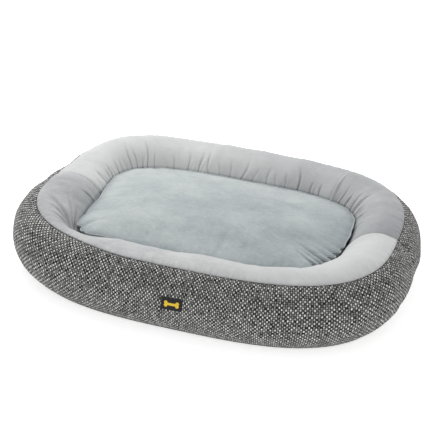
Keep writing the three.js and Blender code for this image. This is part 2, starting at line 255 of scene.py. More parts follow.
def ripple(seed, count, waves_along, waves_across):
    """Soft unevenness of a stuffed surface: a sum of cosines whose waves run round the ring a whole number
    of times, as a function of distance along the ring and distance across the cloth."""
    draw = np.random.default_rng(seed)
    around = draw.integers(waves_along[0], waves_along[1], count)
    across = draw.uniform(waves_across[0], waves_across[1], count)
    phase = draw.uniform(0, 2 * np.pi, count)
    slant = draw.uniform(0, 2 * np.pi, count)

    def height(along, distance):
        total = 0.0
        for n, m, p, q in zip(around, across, phase, slant):
            total = total + np.cos(2 * np.pi * n * along / line_length + p) * np.cos(m * distance + q)
        return total / np.sqrt(count)

    return height


def grid_mesh(name, points, closed_along=False, closed_across=False, cloth=None, keep=None):
    """Puts a grid of points, rows along the first axis, into a new mesh of quads. cloth holds each point's
    place on the flat cloth and becomes its UV map, and keep says which quads stay."""
    rows, columns = points.shape[:2]
    index = np.arange(rows * columns).reshape(rows, columns)
    if closed_along:
        index = np.vstack([index, index[:1]])
    if closed_across:
        index = np.hstack([index, index[:, :1]])
    quads = np.stack([index[:-1, :-1], index[1:, :-1], index[1:, 1:], index[:-1, 1:]], axis=-1).reshape(-1, 4)
    if keep is not None:
        quads = quads[keep.reshape(-1)]
    mesh = bpy.data.meshes.new(name)
    mesh.vertices.add(rows * columns)
    mesh.vertices.foreach_set("co", points.reshape(-1).astype(np.float32))
    mesh.loops.add(quads.size)
    mesh.loops.foreach_set("vertex_index", quads.reshape(-1).astype(np.int32))
    mesh.polygons.add(len(quads))
    mesh.polygons.foreach_set("loop_start", np.arange(0, quads.size, 4, dtype=np.int32))
    mesh.polygons.foreach_set("use_smooth", np.ones(len(quads), bool))
    mesh.update(calc_edges=True)
    if cloth is not None:
        layer = mesh.uv_layers.new(name="cloth")
        layer.data.foreach_set("uv", cloth.reshape(-1, 2)[quads.reshape(-1)].reshape(-1).astype(np.float32))
    return mesh


def new_piece(name, mesh, material):
    piece = bpy.data.objects.new(name, mesh)
    bpy.context.scene.collection.objects.link(piece)
    mesh.materials.append(material)
    return piece


def belongs(piece, body, node=None):
    """Names the body that a piece rides on and hides the plain node it stands for."""
    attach(piece, body)
    if node is not None:
        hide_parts(node)


def thicken(piece, thickness):
    """Gives a surface a wall that grows inwards, with its edges closed."""
    wall = piece.modifiers.new("cloth_thickness", "SOLIDIFY")
    wall.thickness = thickness
    wall.offset = -1
    wall.use_even_offset = False


def node_group(name, inputs, outputs):
    """A shader node group with float or colour sockets, and its own input and output nodes."""
    group = bpy.data.node_groups.new(name, "ShaderNodeTree")
    for label, kind, value in inputs:
        socket = group.interface.new_socket(name=label, in_out="INPUT", socket_type=kind)
        if value is not None:
            socket.default_value = value
    for label, kind in outputs:
        group.interface.new_socket(name=label, in_out="OUTPUT", socket_type=kind)
    return group, group.nodes.new("NodeGroupInput"), group.nodes.new("NodeGroupOutput")


def math_node(tree, operation, first, second=0.0, third=0.0, clamp=False):
    """A Math node whose inputs are sockets or numbers. Gives its output socket."""
    node = tree.nodes.new("ShaderNodeMath")
    node.operation = operation
    node.use_clamp = clamp
    for socket, value in zip(node.inputs, (first, second, third)):
        if isinstance(value, bpy.types.NodeSocket):
            tree.links.new(value, socket)
        else:
            socket.default_value = value
    return node.outputs[0]


def about_half(tree, value, amount):
    """A 0 to 1 value turned into one that swings to both sides of nought by an amount."""
    return math_node(tree, "MULTIPLY", math_node(tree, "SUBTRACT", value, 0.5), amount)


def mix_colour(tree, share, first, second):
    """A Mix node for colours, whose inputs are sockets or values. Gives its output socket."""
    node = tree.nodes.new("ShaderNodeMix")
    node.data_type = "RGBA"
    for socket, value in zip((node.inputs[0], node.inputs[6], node.inputs[7]), (share, first, second)):
        if isinstance(value, bpy.types.NodeSocket):
            tree.links.new(value, socket)
        else:
            socket.default_value = value
    return node.outputs[2]


def noise_node(tree, vector, scale, detail=2.0, rough=0.5):
    """A Noise node on a vector socket. Gives its value socket."""
    node = tree.nodes.new("ShaderNodeTexNoise")
    node.inputs["Detail"].default_value = detail
    node.inputs["Roughness"].default_value = rough
    tree.links.new(vector, node.inputs["Vector"])
    if isinstance(scale, bpy.types.NodeSocket):
        tree.links.new(scale, node.inputs["Scale"])
    else:
        node.inputs["Scale"].default_value = scale
    return node.outputs["Fac"]


def paint(tree, shader, share, first, second):
    """Colours a shader by mixing two colours or colour sockets by a share."""
    tree.links.new(mix_colour(tree, share, first, second), shader.inputs["Base Color"])


def ramp_value(tree, value, low, high, out_low=0.0, out_high=1.0):
    """A clamped Map Range node. Gives its output socket."""
    node = tree.nodes.new("ShaderNodeMapRange")
    tree.links.new(value, node.inputs["Value"])
    for label, number in (("From Min", low), ("From Max", high), ("To Min", out_low), ("To Max", out_high)):
        node.inputs[label].default_value = number
    return node.outputs["Result"]


def bump_into(tree, shader, height, strength, distance):
    node = tree.nodes.new("ShaderNodeBump")
    node.inputs["Strength"].default_value = strength
    node.inputs["Distance"].default_value = distance
    tree.links.new(height, node.inputs["Height"])
    tree.links.new(node.outputs["Normal"], shader.inputs["Normal"])


def place_group(tree, group, **values):
    """Puts a node group into a material and sets or links its named inputs."""
    node = tree.nodes.new("ShaderNodeGroup")
    node.node_tree = group
    for label, value in values.items():
        socket = node.inputs[label.replace("_", " ")]
        if isinstance(value, bpy.types.NodeSocket):
            tree.links.new(value, socket)
        else:
            socket.default_value = value
    return node


def new_material(name, roughness, sheen=0.0, sheen_roughness=0.4, specular=0.3, metallic=0.0):
    """A material whose Principled shader holds the numbers that are the same all over."""
    material = bpy.data.materials.new(name)
    material.use_nodes = True
    shader = material.node_tree.nodes["Principled BSDF"]
    shader.inputs["Roughness"].default_value = roughness
    shader.inputs["Sheen Weight"].default_value = sheen
    shader.inputs["Sheen Roughness"].default_value = sheen_roughness
    shader.inputs["Specular IOR Level"].default_value = specular
    shader.inputs["Metallic"].default_value = metallic
    return material, material.node_tree, shader


def make_weave_group():
    """Plain weave of thick yarn: cells of one yarn's pitch, in which warp and weft lie on top by turns as on
    a chessboard. Each cell's yarn is rounded across its own run, so the height is the cosine of the distance
    from its middle. Shade varies from cell to cell and along each yarn."""
    group, given, result = node_group(
        "yarn_weave",
        [("Vector", "NodeSocketVector", None), ("Pitch", "NodeSocketFloat", 0.0028),
         ("Slub", "NodeSocketFloat", 0.5)],
        [("Warp", "NodeSocketFloat"), ("Shade", "NodeSocketFloat"), ("Height", "NodeSocketFloat")],
    )
    separate = group.nodes.new("ShaderNodeSeparateXYZ")
    group.links.new(given.outputs["Vector"], separate.inputs[0])
    pitch = given.outputs["Pitch"]
    wander = noise_node(group, given.outputs["Vector"], 45.0, 1.0)
    drift = about_half(group, wander, 0.7)
    across = math_node(group, "ADD", math_node(group, "DIVIDE", separate.outputs[0], pitch), drift)
    up_wall = math_node(group, "ADD", math_node(group, "DIVIDE", separate.outputs[1], pitch), drift)
    cell_x, cell_y = math_node(group, "FLOOR", across), math_node(group, "FLOOR", up_wall)
    turn = math_node(group, "FLOORED_MODULO", math_node(group, "ADD", cell_x, cell_y), 2.0)
    warp = math_node(group, "GREATER_THAN", turn, 0.5)
    in_x = math_node(group, "SUBTRACT", math_node(group, "FRACT", across), 0.5)
    in_y = math_node(group, "SUBTRACT", math_node(group, "FRACT", up_wall), 0.5)
    round_x = math_node(group, "COSINE", math_node(group, "MULTIPLY", in_x, 2.9))
    round_y = math_node(group, "COSINE", math_node(group, "MULTIPLY", in_y, 2.9))
    dip_x = math_node(group, "COSINE", math_node(group, "MULTIPLY", in_x, 1.9))
    dip_y = math_node(group, "COSINE", math_node(group, "MULTIPLY", in_y, 1.9))
    as_warp = math_node(group, "MULTIPLY", round_x, dip_y)
    as_weft = math_node(group, "MULTIPLY", round_y, dip_x)
    weft_share = math_node(group, "SUBTRACT", 1.0, warp)
    height = math_node(group, "ADD", math_node(group, "MULTIPLY", as_warp, warp),
                       math_node(group, "MULTIPLY", as_weft, weft_share))
    cell = group.nodes.new("ShaderNodeCombineXYZ")
    group.links.new(cell_x, cell.inputs[0])
    group.links.new(cell_y, cell.inputs[1])
    speckle = group.nodes.new("ShaderNodeTexWhiteNoise")
    group.links.new(cell.outputs[0], speckle.inputs["Vector"])
    fibre = noise_node(group, given.outputs["Vector"], 900.0, 3.0)
    cloud = noise_node(group, given.outputs["Vector"], 120.0, 2.0)
    uneven = about_half(group, speckle.outputs["Value"], given.outputs["Slub"])
    cloudy = about_half(group, cloud, 0.4)
    hairy = about_half(group, fibre, 0.5)
    yarn_shade = math_node(group, "ADD", uneven, cloudy)
    shade = math_node(group, "ADD", yarn_shade, math_node(group, "ADD", hairy, 0.5))
    group.links.new(warp, result.inputs["Warp"])
    group.links.new(shade, result.inputs["Shade"])
    group.links.new(math_node(group, "ADD", height, math_node(group, "MULTIPLY", fibre, 0.25)),
                    result.inputs["Height"])
    return group


yarn_weave = make_weave_group()


def uv_vector(tree):
    node = tree.nodes.new("ShaderNodeUVMap")
    node.uv_map = "cloth"
    return node.outputs["UV"]


tweed_black = (0.006, 0.006, 0.006, 1.0)
tweed_grey = (0.15, 0.15, 0.147, 1.0)
tweed_pale = (0.29, 0.29, 0.284, 1.0)
tweed_fleck = (0.95, 0.95, 0.92, 1.0)
tweed_yarn_pitch = 0.0057

tweed, tree, shader = new_material("tweed", roughness=0.95, sheen=0.12, specular=0.15)
weave = place_group(tree, yarn_weave, Vector=uv_vector(tree), Pitch=tweed_yarn_pitch, Slub=0.75)
warp_colour = mix_colour(tree, ramp_value(tree, weave.outputs["Shade"], 0.0, 1.0), tweed_grey, tweed_fleck)
weft_colour = mix_colour(tree, ramp_value(tree, weave.outputs["Shade"], 0.1, 1.0), tweed_black, tweed_pale)
cloth_colour = mix_colour(tree, weave.outputs["Warp"], weft_colour, warp_colour)
# Painted shade: the colour darkens to black where the yarn sinks, in the gaps between the yarns.
painted_gap_shade_mask = ramp_value(tree, weave.outputs["Height"], 0.46, 0.94)
cloth_colour = mix_colour(tree, painted_gap_shade_mask, tweed_black, cloth_colour)
tree.links.new(cloth_colour, shader.inputs["Base Color"])
bump_into(tree, shader, weave.outputs["Height"], 0.9, 0.0014)

seam_angle = np.radians(61.0)
tweed_foot = outer_angle(0.0023)
tweed_columns, tweed_rows = 760, 64
tweed_thickness = 0.0020
wall_lump_height, wall_swell = 0.0016, 0.0022
wall_join_groove, wall_join_dip = 0.0035, 0.0024
wall_seam_pinch, wall_seam_dip = 0.0034, 0.0020
wall_pucker_height = 0.0005
label_place = 0.75 * line_length
wall_unevenness = ripple(11, 14, (6, 34), (10, 45))
wall_creases_draw = np.random.default_rng(12)


def crease(distance, width):
    """Cross-section of a fold pressed into cloth: a sharp valley with soft shoulders that rise beside it."""
    return 0.28 * np.exp(-(distance / (2.6 * width)) ** 2) - 1.28 * np.exp(-np.abs(distance / width) ** 1.3)


def seam_line(along):
    """The shoulder seam's angle: it wanders up and down a little, highest at the front's left end."""
    rise = 5.5 * np.exp(-(ring_gap(along, 1.68) / 0.11) ** 2)
    rise = rise - 0.8 * np.exp(-(ring_gap(along, 2.04) / 0.16) ** 2)
    rise = rise + 2.5 * np.exp(-(ring_gap(along, 1.36) / 0.06) ** 2)
    return seam_angle + np.radians(rise)


def seam_pucker(along, distance):
    """Short pulls in the cloth beside a sewn edge: fine ripples along it that die away over 30 mm."""
    wave = np.cos(2 * np.pi * 118 * along / line_length + 2.2 * np.sin(2 * np.pi * 9 * along / line_length))
    wave = wave + 0.8 * np.cos(2 * np.pi * 187 * along / line_length + 1.0)
    return wave * np.exp(-np.abs(distance) / 0.016)


def wall_shape(along, angle):
    """How far the wall stands off its plain section: stuffing lumps, soft vertical creases, a groove at the
    joins at the two short ends and the pinch where it meets the plush."""
    up_wall = girth(angle) - girth(tweed_foot)
    to_seam = girth(seam_line(along)) - girth(angle)
    fade = smooth(up_wall / 0.04) * smooth(to_seam / 0.03)
    lift = wall_lump_height * wall_unevenness(along, up_wall) * fade
    for place, width, depth_of, slant in wall_folds:
        lift = lift + depth_of * crease(ring_gap(along, place) + slant * (up_wall - 0.12), width) * fade
    for place, depth_of in ((0.0, 1.0), (line_length / 2, 0.5)):
        join = np.abs(ring_gap(along, place))
        groove = wall_join_groove * np.exp(-(join / 0.006) ** 1.2)
        groove = groove + wall_join_dip * np.exp(-(join / 0.03) ** 2)
        lift = lift - depth_of * groove
    lift = lift - wall_seam_pinch * np.exp(-to_seam / 0.0035) - wall_seam_dip * np.exp(-to_seam / 0.02)
    lift = lift + wall_pucker_height * seam_pucker(along, to_seam)
    lift = lift + wall_swell * smooth(up_wall / 0.05) * smooth(to_seam / 0.05)
    return lift


fold_count = 34
label_clearance = 0.07
# Each crease has its place on the ring, width, depth, and slant along the ring as it climbs.
fold_places = wall_creases_draw.uniform(0, line_length, fold_count)
fold_widths = wall_creases_draw.uniform(0.010, 0.026, fold_count)
fold_depths = wall_creases_draw.uniform(0.0006, 0.0018, fold_count)
fold_slants = wall_creases_draw.uniform(-0.5, 0.5, fold_count)
clear_of_label = np.abs(ring_gap(fold_places, label_place)) > label_clearance
wall_folds = list(zip(fold_places[clear_of_label], fold_widths[clear_of_label],
                      fold_depths[clear_of_label], fold_slants[clear_of_label]))
wall_folds += [(2.53, 0.012, 0.0035, 0.35), (2.60, 0.009, 0.0030, -0.5), (0.05, 0.012, 0.0030, 0.3)]

zip_slot_half_length = 0.124
zip_slot_half_height = 0.013
zip_height = 0.046
seam_gap = 0.0004 / bolster_half


def half_run(side, columns):
    """Distances along the front or back half of the ring, whose ends lie 0.3 mm from the other half's."""
    start = 0.0 if side > 0 else line_length / 2
    joint_gap = 0.00015
    return start + np.linspace(joint_gap, line_length / 2 - joint_gap, columns)


def snapped(values, marks):
    """Evenly spaced values with the nearest one moved onto each mark."""
    values = values.copy()
    for mark in marks:
        values[np.abs(values - mark).argmin()] = mark
    return values


slot_middle = 0.25 * line_length
slot_girth = girth(outer_angle(zip_height))
for side, name in ((-1, "tweed_wall_front"), (1, "tweed_wall_back")):
    full_girth = girth(seam_line(slot_middle) - seam_gap) - girth(tweed_foot)
    slot_rows = (slot_girth + np.array([-1, 1]) * zip_slot_half_height - girth(tweed_foot)) / full_girth
    slot_columns = slot_middle + np.array([-1, 1]) * zip_slot_half_length
    run = half_run(side, tweed_columns)
    share = np.linspace(0, 1, tweed_rows)
    if side > 0:
        run, share = snapped(run, slot_columns), snapped(share, slot_rows)
    run, share = run[:, None], share[None, :]
    top = seam_line(run) - seam_gap
    reach_up = girth(tweed_foot) + share * (girth(top) - girth(tweed_foot))
    angles = angle_at_girth(reach_up)
    points = on_bolster(run, angles, wall_shape(run, angles))
    cloth = np.stack([np.broadcast_to(run * 1.2, angles.shape), reach_up], axis=-1)
    middle_run = (run[1:] + run[:-1]) / 2
    middle_share = (share[:, 1:] + share[:, :-1]) / 2
    in_slot = (np.abs(middle_run - slot_middle) < zip_slot_half_length) \
        & (middle_share > slot_rows[0]) & (middle_share < slot_rows[1])
    mesh = grid_mesh(name, points, cloth=cloth, keep=~in_slot)
    wall = new_piece(name + "_cloth", mesh, tweed)
    thicken(wall, tweed_thickness)
    belongs(wall, "bed", name)

# ---------------------------------------------------------------- plush rim
# Two U-shaped panels of short velvet plush over the shoulder, the crest and the inner slope, sewn together
# at the short ends. Their inner edges are gathered, so pleats run up the slope from the well.
plush_thickness = 0.0024
plush_foot = np.pi - outer_angle(0.0163)
plush_columns, plush_rows = 1000, 80
girth_foot = girth(plush_foot)
rim_lumps = ripple(21, 18, (5, 24), (8, 26))
rim_small_lumps = ripple(22, 18, (26, 70), (18, 60))
rim_lump_height, rim_small_lump_height = 0.0022, 0.0007
rim_join_groove, rim_join_dip = 0.0034, 0.0022
rim_seam_pinch, rim_seam_dip = 0.0030, 0.0010
rim_pucker_height = 0.0007
rim_lowest, rim_highest = -0.0095, 0.008
cushion_contact_height = 0.148
contact_girth = girth(np.pi - outer_angle(cushion_contact_height))


def pleat(along, climb, place, width, depth_of, reach, slant):
    """A pleat: a crease across the ring that is deepest where the cushion touches the slope and runs out
    a reach above it. Slant carries it along the ring as it climbs, and a sine bends it a little."""
    bend = 0.0032 * np.sin(65 * climb + 37 * place)
    offset = ring_gap(along, place) + slant * climb + bend
    fade = smooth((reach - climb) / (0.75 * reach))
    return depth_of * crease(offset, width * (0.60 + 0.70 * np.clip(climb / reach, 0, 1))) * fade


def fold(along, climb, start, end, width, depth_of):
    """A fold along a line on the cloth, from start to end as (distance along the ring, climb): a crease
    across the line's own direction that narrows out towards the end."""
    run_long, run_up = end[0] - start[0], end[1] - start[1]
    length = np.hypot(run_long, run_up)
    gone_long, gone_up = ring_gap(along, start[0]), climb - start[1]
    share = (gone_long * run_long + gone_up * run_up) / length ** 2
    off_line = (gone_up * run_long - gone_long * run_up) / length
    fade = smooth((1.0 - share) / 0.6) * smooth((share + 0.15) / 0.2)
    return depth_of * crease(off_line, width * (1.15 - 0.5 * np.clip(share, 0, 1))) * fade


# Each pleat has its place on the ring, width, depth, reach up the slope and slant along the ring.
pleat_draw = np.random.default_rng(23)
pleat_count = 110
pleats = list(zip(
    pleat_draw.uniform(0, line_length, pleat_count),
    pleat_draw.uniform(0.0030, 0.0065, pleat_count),
    pleat_draw.uniform(0.0005, 0.0021, pleat_count),
    pleat_draw.uniform(0.020, 0.055, pleat_count),
    pleat_draw.uniform(-0.4, 0.4, pleat_count),
))
chosen_pleats = [
    (1.077, 0.0040, 0.0050, 0.095, 0.05), (1.050, 0.0040, 0.0046, 0.088, 0.02),
    (0.997, 0.0036, 0.0050, 0.098, 0.0), (0.968, 0.0040, 0.0036, 0.050, 0.0),
    (0.850, 0.0050, 0.0042, 0.065, 0.0), (0.811, 0.0050, 0.0046, 0.065, 0.0),
    (0.782, 0.0055, 0.0044, 0.090, -0.15), (0.676, 0.0055, 0.0040, 0.080, 0.20),
    (0.640, 0.0060, 0.0022, 0.050, 0.2), (0.499, 0.0045, 0.0056, 0.085, -0.15),
    (0.545, 0.0050, 0.0036, 0.050, 0.0), (0.455, 0.0050, 0.0034, 0.040, 0.0),
    (1.262, 0.0040, 0.0042, 0.055, 0.1), (1.153, 0.0045, 0.0042, 0.050, 0.0),
    (1.205, 0.0040, 0.0038, 0.040, 0.0), (1.225, 0.0040, 0.0034, 0.035, 0.0),
    (0.715, 0.0055, 0.0036, 0.055, 0.0), (0.900, 0.0045, 0.0030, 0.040, 0.0),
    (1.125, 0.0040, 0.0034, 0.045, 0.0), (0.335, 0.0045, 0.0030, 0.070, 0.1),
    (0.300, 0.0040, 0.0026, 0.050, 0.0), (0.200, 0.0050, 0.0034, 0.050, 0.0),
    (0.155, 0.0050, 0.0030, 0.040, 0.1), (1.400, 0.0050, 0.0036, 0.050, -0.1),
    (1.300, 0.0040, 0.0030, 0.045, 0.2), (1.020, 0.0036, 0.0032, 0.060, 0.0),
    (0.748, 0.0050, 0.0030, 0.045, -0.1), (0.600, 0.0055, 0.0034, 0.055, 0.1),
    (0.575, 0.0050, 0.0028, 0.040, 0.0), (0.425, 0.0050, 0.0028, 0.040, 0.1),
]
# Each fold has its start and end, as distance along the ring and climb up the slope, then its width and
# how far it sinks or, if raised, stands up.
raised_folds = [
    ((0.368, -0.03), (0.374, 0.120), 0.0034, 0.0064), ((0.226, -0.03), (0.246, 0.100), 0.0032, 0.0074),
    ((0.262, -0.03), (0.276, 0.085), 0.0034, 0.0054), ((0.120, -0.03), (0.110, 0.060), 0.0050, 0.0020),
]
corner_folds = [
    ((1.610, 0.010), (1.452, 0.142), 0.0060, 0.0078), ((1.612, 0.020), (1.500, 0.142), 0.0050, 0.0056),
    ((1.614, 0.025), (1.545, 0.142), 0.0045, 0.0048), ((1.606, 0.005), (1.430, 0.075), 0.0055, 0.0050),
    ((1.604, 0.000), (1.470, 0.030), 0.0055, 0.0052), ((1.620, 0.035), (1.600, 0.145), 0.0045, 0.0038),
    ((1.608, 0.015), (1.475, 0.142), 0.0040, 0.0040), ((1.616, 0.025), (1.572, 0.140), 0.0040, 0.0036),
]


def rim_creases(along, angle):
    """Depth of the gathers that run up from the inner edge, of the folds at the front's left end and of the
    raised folds at the back's right end."""
    climb = contact_girth - girth(angle)
    fade = smooth((girth(angle) - girth(seam_line(along))) / 0.025)
    back_share = smooth(np.sin(2 * np.pi * along / line_length) * 2.2 + 0.9)
    depths = 0.0
    for place, width, depth_of, reach, slant in pleats:
        depths = depths + pleat(along, climb, place, width, depth_of, reach, slant)
    middle_back = 0.45 * np.exp(-(ring_gap(along, 0.66) / 0.26) ** 4)
    depths = depths * (0.30 + (0.70 - middle_back) * back_share)
    for place, width, depth_of, reach, slant in chosen_pleats:
        softer = 1.2 - 0.35 * np.exp(-((place - 0.66) / 0.20) ** 2)
        depths = depths + pleat(along, climb, place, 0.85 * width, softer * depth_of, reach, slant)
    for start, end, width, depth_of in raised_folds:
        depths = depths - 1.1 * fold(along, climb, start, end, width, depth_of)
    for start, end, width, depth_of in corner_folds:
        depths = depths + fold(along, climb, start, end, width, depth_of) * fade
    return depths


def rim_shape(along, angle, creases):
    """How far the plush stands off its plain section: stuffing lumps, its creases and the pinched seams."""
    climb = contact_girth - girth(angle)
    to_seam = girth(angle) - girth(seam_line(along))
    fade = smooth(to_seam / 0.025)
    lift = rim_lump_height * rim_lumps(along, climb) * fade
    lift = lift + rim_small_lump_height * rim_small_lumps(along, climb) * fade + creases
    join = np.minimum(np.abs(ring_gap(along, 0.0)), np.abs(ring_gap(along, line_length / 2)))
    lift = lift - rim_join_groove * np.exp(-(join / 0.005) ** 1.2)
    lift = lift - rim_join_dip * np.exp(-(join / 0.026) ** 2)
    lift = lift - rim_seam_pinch * np.exp(-to_seam / 0.003) - rim_seam_dip * np.exp(-to_seam / 0.02)
    lift = lift + rim_pucker_height * seam_pucker(along + 0.004, to_seam)
    return np.clip(lift, rim_lowest, rim_highest)


def bump_tone(along, place, width):
    return np.exp(-(ring_gap(along, place) / width) ** 2)


def painted_pile_light_and_shade(along, angle, creases):
    """Painted light and shade on the pile, as a tone from dark to light. The sheen that the brushed pile
    shows is
    painted: dark at the left end and along the right of the back, pale over the front's right corner and the
    back's left corner. Painted shade lies down in the creases and where the cushion lies against it, and a
    painted highlight along the creases' tops."""
    back = smooth(np.sin(2 * np.pi * along / line_length) * 60 + 0.5)
    # Painted sheen along the back panel here, and along the front panel below.
    behind = 0.52 * smooth(ring_gap(along, 0.66) / 0.50 + 0.5) + 0.08 * bump_tone(along, 1.15, 0.14)
    front = 0.69 + 0.20 * bump_tone(along, 2.52, 0.20) - 0.44 * bump_tone(along, 1.40, 0.10)
    front = front - 0.36 * bump_tone(along, 1.59, 0.10)
    behind = behind - 0.26 * bump_tone(along, 0.05, 0.12)
    # Painted shade below the line where the cushion touches the slope.
    painted_contact_shade = 0.8 * smooth((girth(angle) - contact_girth) / 0.012 + 0.3)
    climb = contact_girth - girth(angle)
    # Painted light: lighter low on the slope near the cushion, darker up towards the crest.
    low = 0.14 * np.exp(-(climb / 0.055) ** 2) - 0.06 * smooth(climb / 0.02 - 3.5)
    front = front - 0.16 * bump_tone(along, 1.80, 0.16)
    tone = back * (0.44 + 0.90 * behind + low) + (1 - back) * (front + 0.10)
    # Painted shade in the creases and a painted highlight on the raised folds and shoulders.
    return tone + 40 * np.clip(creases, -0.007, 0) + 140 * np.clip(creases, 0, 0.006) - painted_contact_shade


def nap_crush(along):
    """How strongly the pile is marked: most along the left half of the front, and more at the left end."""
    return 0.22 + 0.34 * bump_tone(along, 1.86, 0.22) + 0.14 * bump_tone(along, 1.45, 0.18)


plush_dark = (0.252, 0.262, 0.276, 1.0)
plush_light = (0.562, 0.572, 0.569, 1.0)


def make_nap_group():
    """Marks left in a brushed pile: broad clouds stretched one way, finger-wide streaks and a fine grain of
    tufts. Tone gathers them round a given tone, and Height is the pile's own unevenness."""
    group, given, result = node_group(
        "brushed_nap",
        [("Vector", "NodeSocketVector", None), ("Tone", "NodeSocketFloat", 0.5),
         ("Cloud Scale", "NodeSocketFloat", 7.0), ("Marks", "NodeSocketFloat", 0.3)],
        [("Tone", "NodeSocketFloat"), ("Height", "NodeSocketFloat")],
    )
    stretch = group.nodes.new("ShaderNodeMapping")
    stretch.inputs["Scale"].default_value = (1.0, 1.5, 1.3)
    stretch.inputs["Rotation"].default_value = (0.0, 0.0, 0.9)
    group.links.new(given.outputs["Vector"], stretch.inputs["Vector"])
    clouds = noise_node(group, stretch.outputs[0], given.outputs["Cloud Scale"], 4.0, 0.62)
    streaks = noise_node(group, stretch.outputs[0], 38.0, 3.0, 0.55)
    strokes = noise_node(group, stretch.outputs[0], 110.0, 3.0, 0.6)
    grain = noise_node(group, given.outputs["Vector"], 700.0, 2.0, 0.6)
    fine = noise_node(group, given.outputs["Vector"], 2600.0, 1.0, 0.5)
    broad = about_half(group, clouds, 2.2)
    narrow = about_half(group, streaks, 0.7)
    tufts = about_half(group, grain, 0.5)
    short = about_half(group, strokes, 1.1)
    wide_marks = math_node(group, "ADD", broad, narrow)
    marks = math_node(group, "ADD", wide_marks, math_node(group, "ADD", tufts, short))
    toned = math_node(group, "MULTIPLY_ADD", marks, given.outputs["Marks"], given.outputs["Tone"],
                      clamp=True)
    group.links.new(toned, result.inputs["Tone"])
    pile = math_node(group, "ADD", math_node(group, "MULTIPLY", grain, 0.5),
                     math_node(group, "MULTIPLY", fine, 0.3))
    group.links.new(math_node(group, "ADD", pile, math_node(group, "MULTIPLY", streaks, 0.8)),
                    result.inputs["Height"])
    return group


brushed_nap = make_nap_group()


def object_vector(tree):
    return tree.nodes.new("ShaderNodeTexCoord").outputs["Object"]


rim_plush, tree, shader = new_material(
    "rim_plush", roughness=0.85, sheen=0.35, sheen_roughness=0.35, specular=0.2)
# The plush's colour follows the painted light and shade in this attribute, with random brushed marks over it.
tone = tree.nodes.new("ShaderNodeAttribute")
tone.attribute_name = "painted_pile_light_and_shade"
crush = tree.nodes.new("ShaderNodeAttribute")
crush.attribute_name = "nap_crush"
nap = place_group(tree, brushed_nap, Vector=object_vector(tree), Tone=tone.outputs["Fac"],
                  Cloud_Scale=9.0, Marks=crush.outputs["Fac"])
paint(tree, shader, nap.outputs["Tone"], plush_dark, plush_light)
bump_into(tree, shader, nap.outputs["Height"], 0.5, 0.0009)


def add_point_values(mesh, name, values):
    layer = mesh.attributes.new(name, "FLOAT", "POINT")
    layer.data.foreach_set("value", values.reshape(-1).astype(np.float32))


for side, name in ((-1, "rim_panel_front"), (1, "rim_panel_back")):
    run = half_run(side, plush_columns)[:, None]
    share = np.linspace(0, 1, plush_rows)[None, :]
    first = girth(seam_line(run) + seam_gap)
    reach_over = first + share * (girth_foot - first)
    angles = angle_at_girth(reach_over)
    creases = rim_creases(run, angles)
    points = on_bolster(run, angles, rim_shape(run, angles, creases))
    cloth = np.stack([np.broadcast_to(run, angles.shape), reach_over], axis=-1)
    mesh = grid_mesh(name, points, cloth=cloth)
    # Painted light and shade of the pile, stored on each point.
    add_point_values(mesh, "painted_pile_light_and_shade", painted_pile_light_and_shade(run, angles, creases))
    add_point_values(mesh, "nap_crush", np.broadcast_to(nap_crush(run), angles.shape))
    panel = new_piece(name + "_plush", mesh, rim_plush)
    thicken(panel, plush_thickness)
    belongs(panel, "bed", name)

# ---------------------------------------------------------------- bolster filling
# Loose polyester fibre blown through the zip into the tube that the tweed and the plush make. It carries
# the tube's shape a finger's breadth under the cloth and lies flat along the floor.
filling_depth = 0.0125
filling_floor = 0.0040
filling_columns, filling_rows = 420, 72
filling_tufts = ripple(31, 24, (40, 120), (30, 120))

fibre, tree, shader = new_material("white_fibre", roughness=1.0, sheen=0.3, specular=0.1)
strands = noise_node(tree, object_vector(tree), 180.0, 6.0, 0.7)
paint(tree, shader, strands, (0.70, 0.69, 0.66, 1.0), (0.90, 0.89, 0.86, 1.0))
bump_into(tree, shader, strands, 0.8, 0.003)

run = np.linspace(0, line_length, filling_columns, endpoint=False)[:, None]
angles = np.linspace(-np.pi / 2, 3 * np.pi / 2, filling_rows, endpoint=False)[None, :]
points = on_bolster(run, angles, -filling_depth + 0.0012 * filling_tufts(run, girth(angles)))
points[..., 2] = np.maximum(points[..., 2], filling_floor)
filling = new_piece("bolster_filling", grid_mesh("bolster_filling", points, True, True), fibre)
belongs(filling, "bed", "bolster_fill")

# ---------------------------------------------------------------- cushion
# A loose pillow that fills the well: a top and a bottom panel of cooler grey plush, sewn together over a
# thin covered cord. The filling crowns its top, and its edge tucks under the bolster's bulge.
welt_low, welt_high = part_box("cushion_welt")
welt_radius = 0.0022
welt_height = (welt_low[2] + welt_high[2]) / 2
cushion_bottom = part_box("cushion_bottom_panel")[0][2]
cushion_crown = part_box("cushion_top_panel")[1][2]
cushion_ease = 0.0026
cushion_lower_round = 0.016
cushion_thickness = 0.0016
crown_power = 3.2
crown_shoulder = 0.62
cells_long, cells_wide = 132, 90
panel_growth = 0.005
pillow_pressure = 4.0
pillow_frames = 24
pillow_movement = 0.014


def inner_reach(height):
    """Distance inwards from the ring line to the bolster's inner surface at a height."""
    return section(outer_angle(height))[0]


# Each scallop has its place on the ring, width and depth.
scallops = [
    (2.392, 0.012, 0.0240), (2.436, 0.010, 0.0170), (2.476, 0.012, 0.0270), (2.522, 0.010, 0.0200),
    (2.562, 0.011, 0.0210), (2.602, 0.009, 0.0090), (2.350, 0.007, 0.0040), (1.603, 0.012, 0.0120),
    (1.640, 0.008, 0.0050), (0.970, 0.020, 0.0020), (0.240, 0.010, 0.0040),
]


contact_angle = np.pi - outer_angle(welt_height)


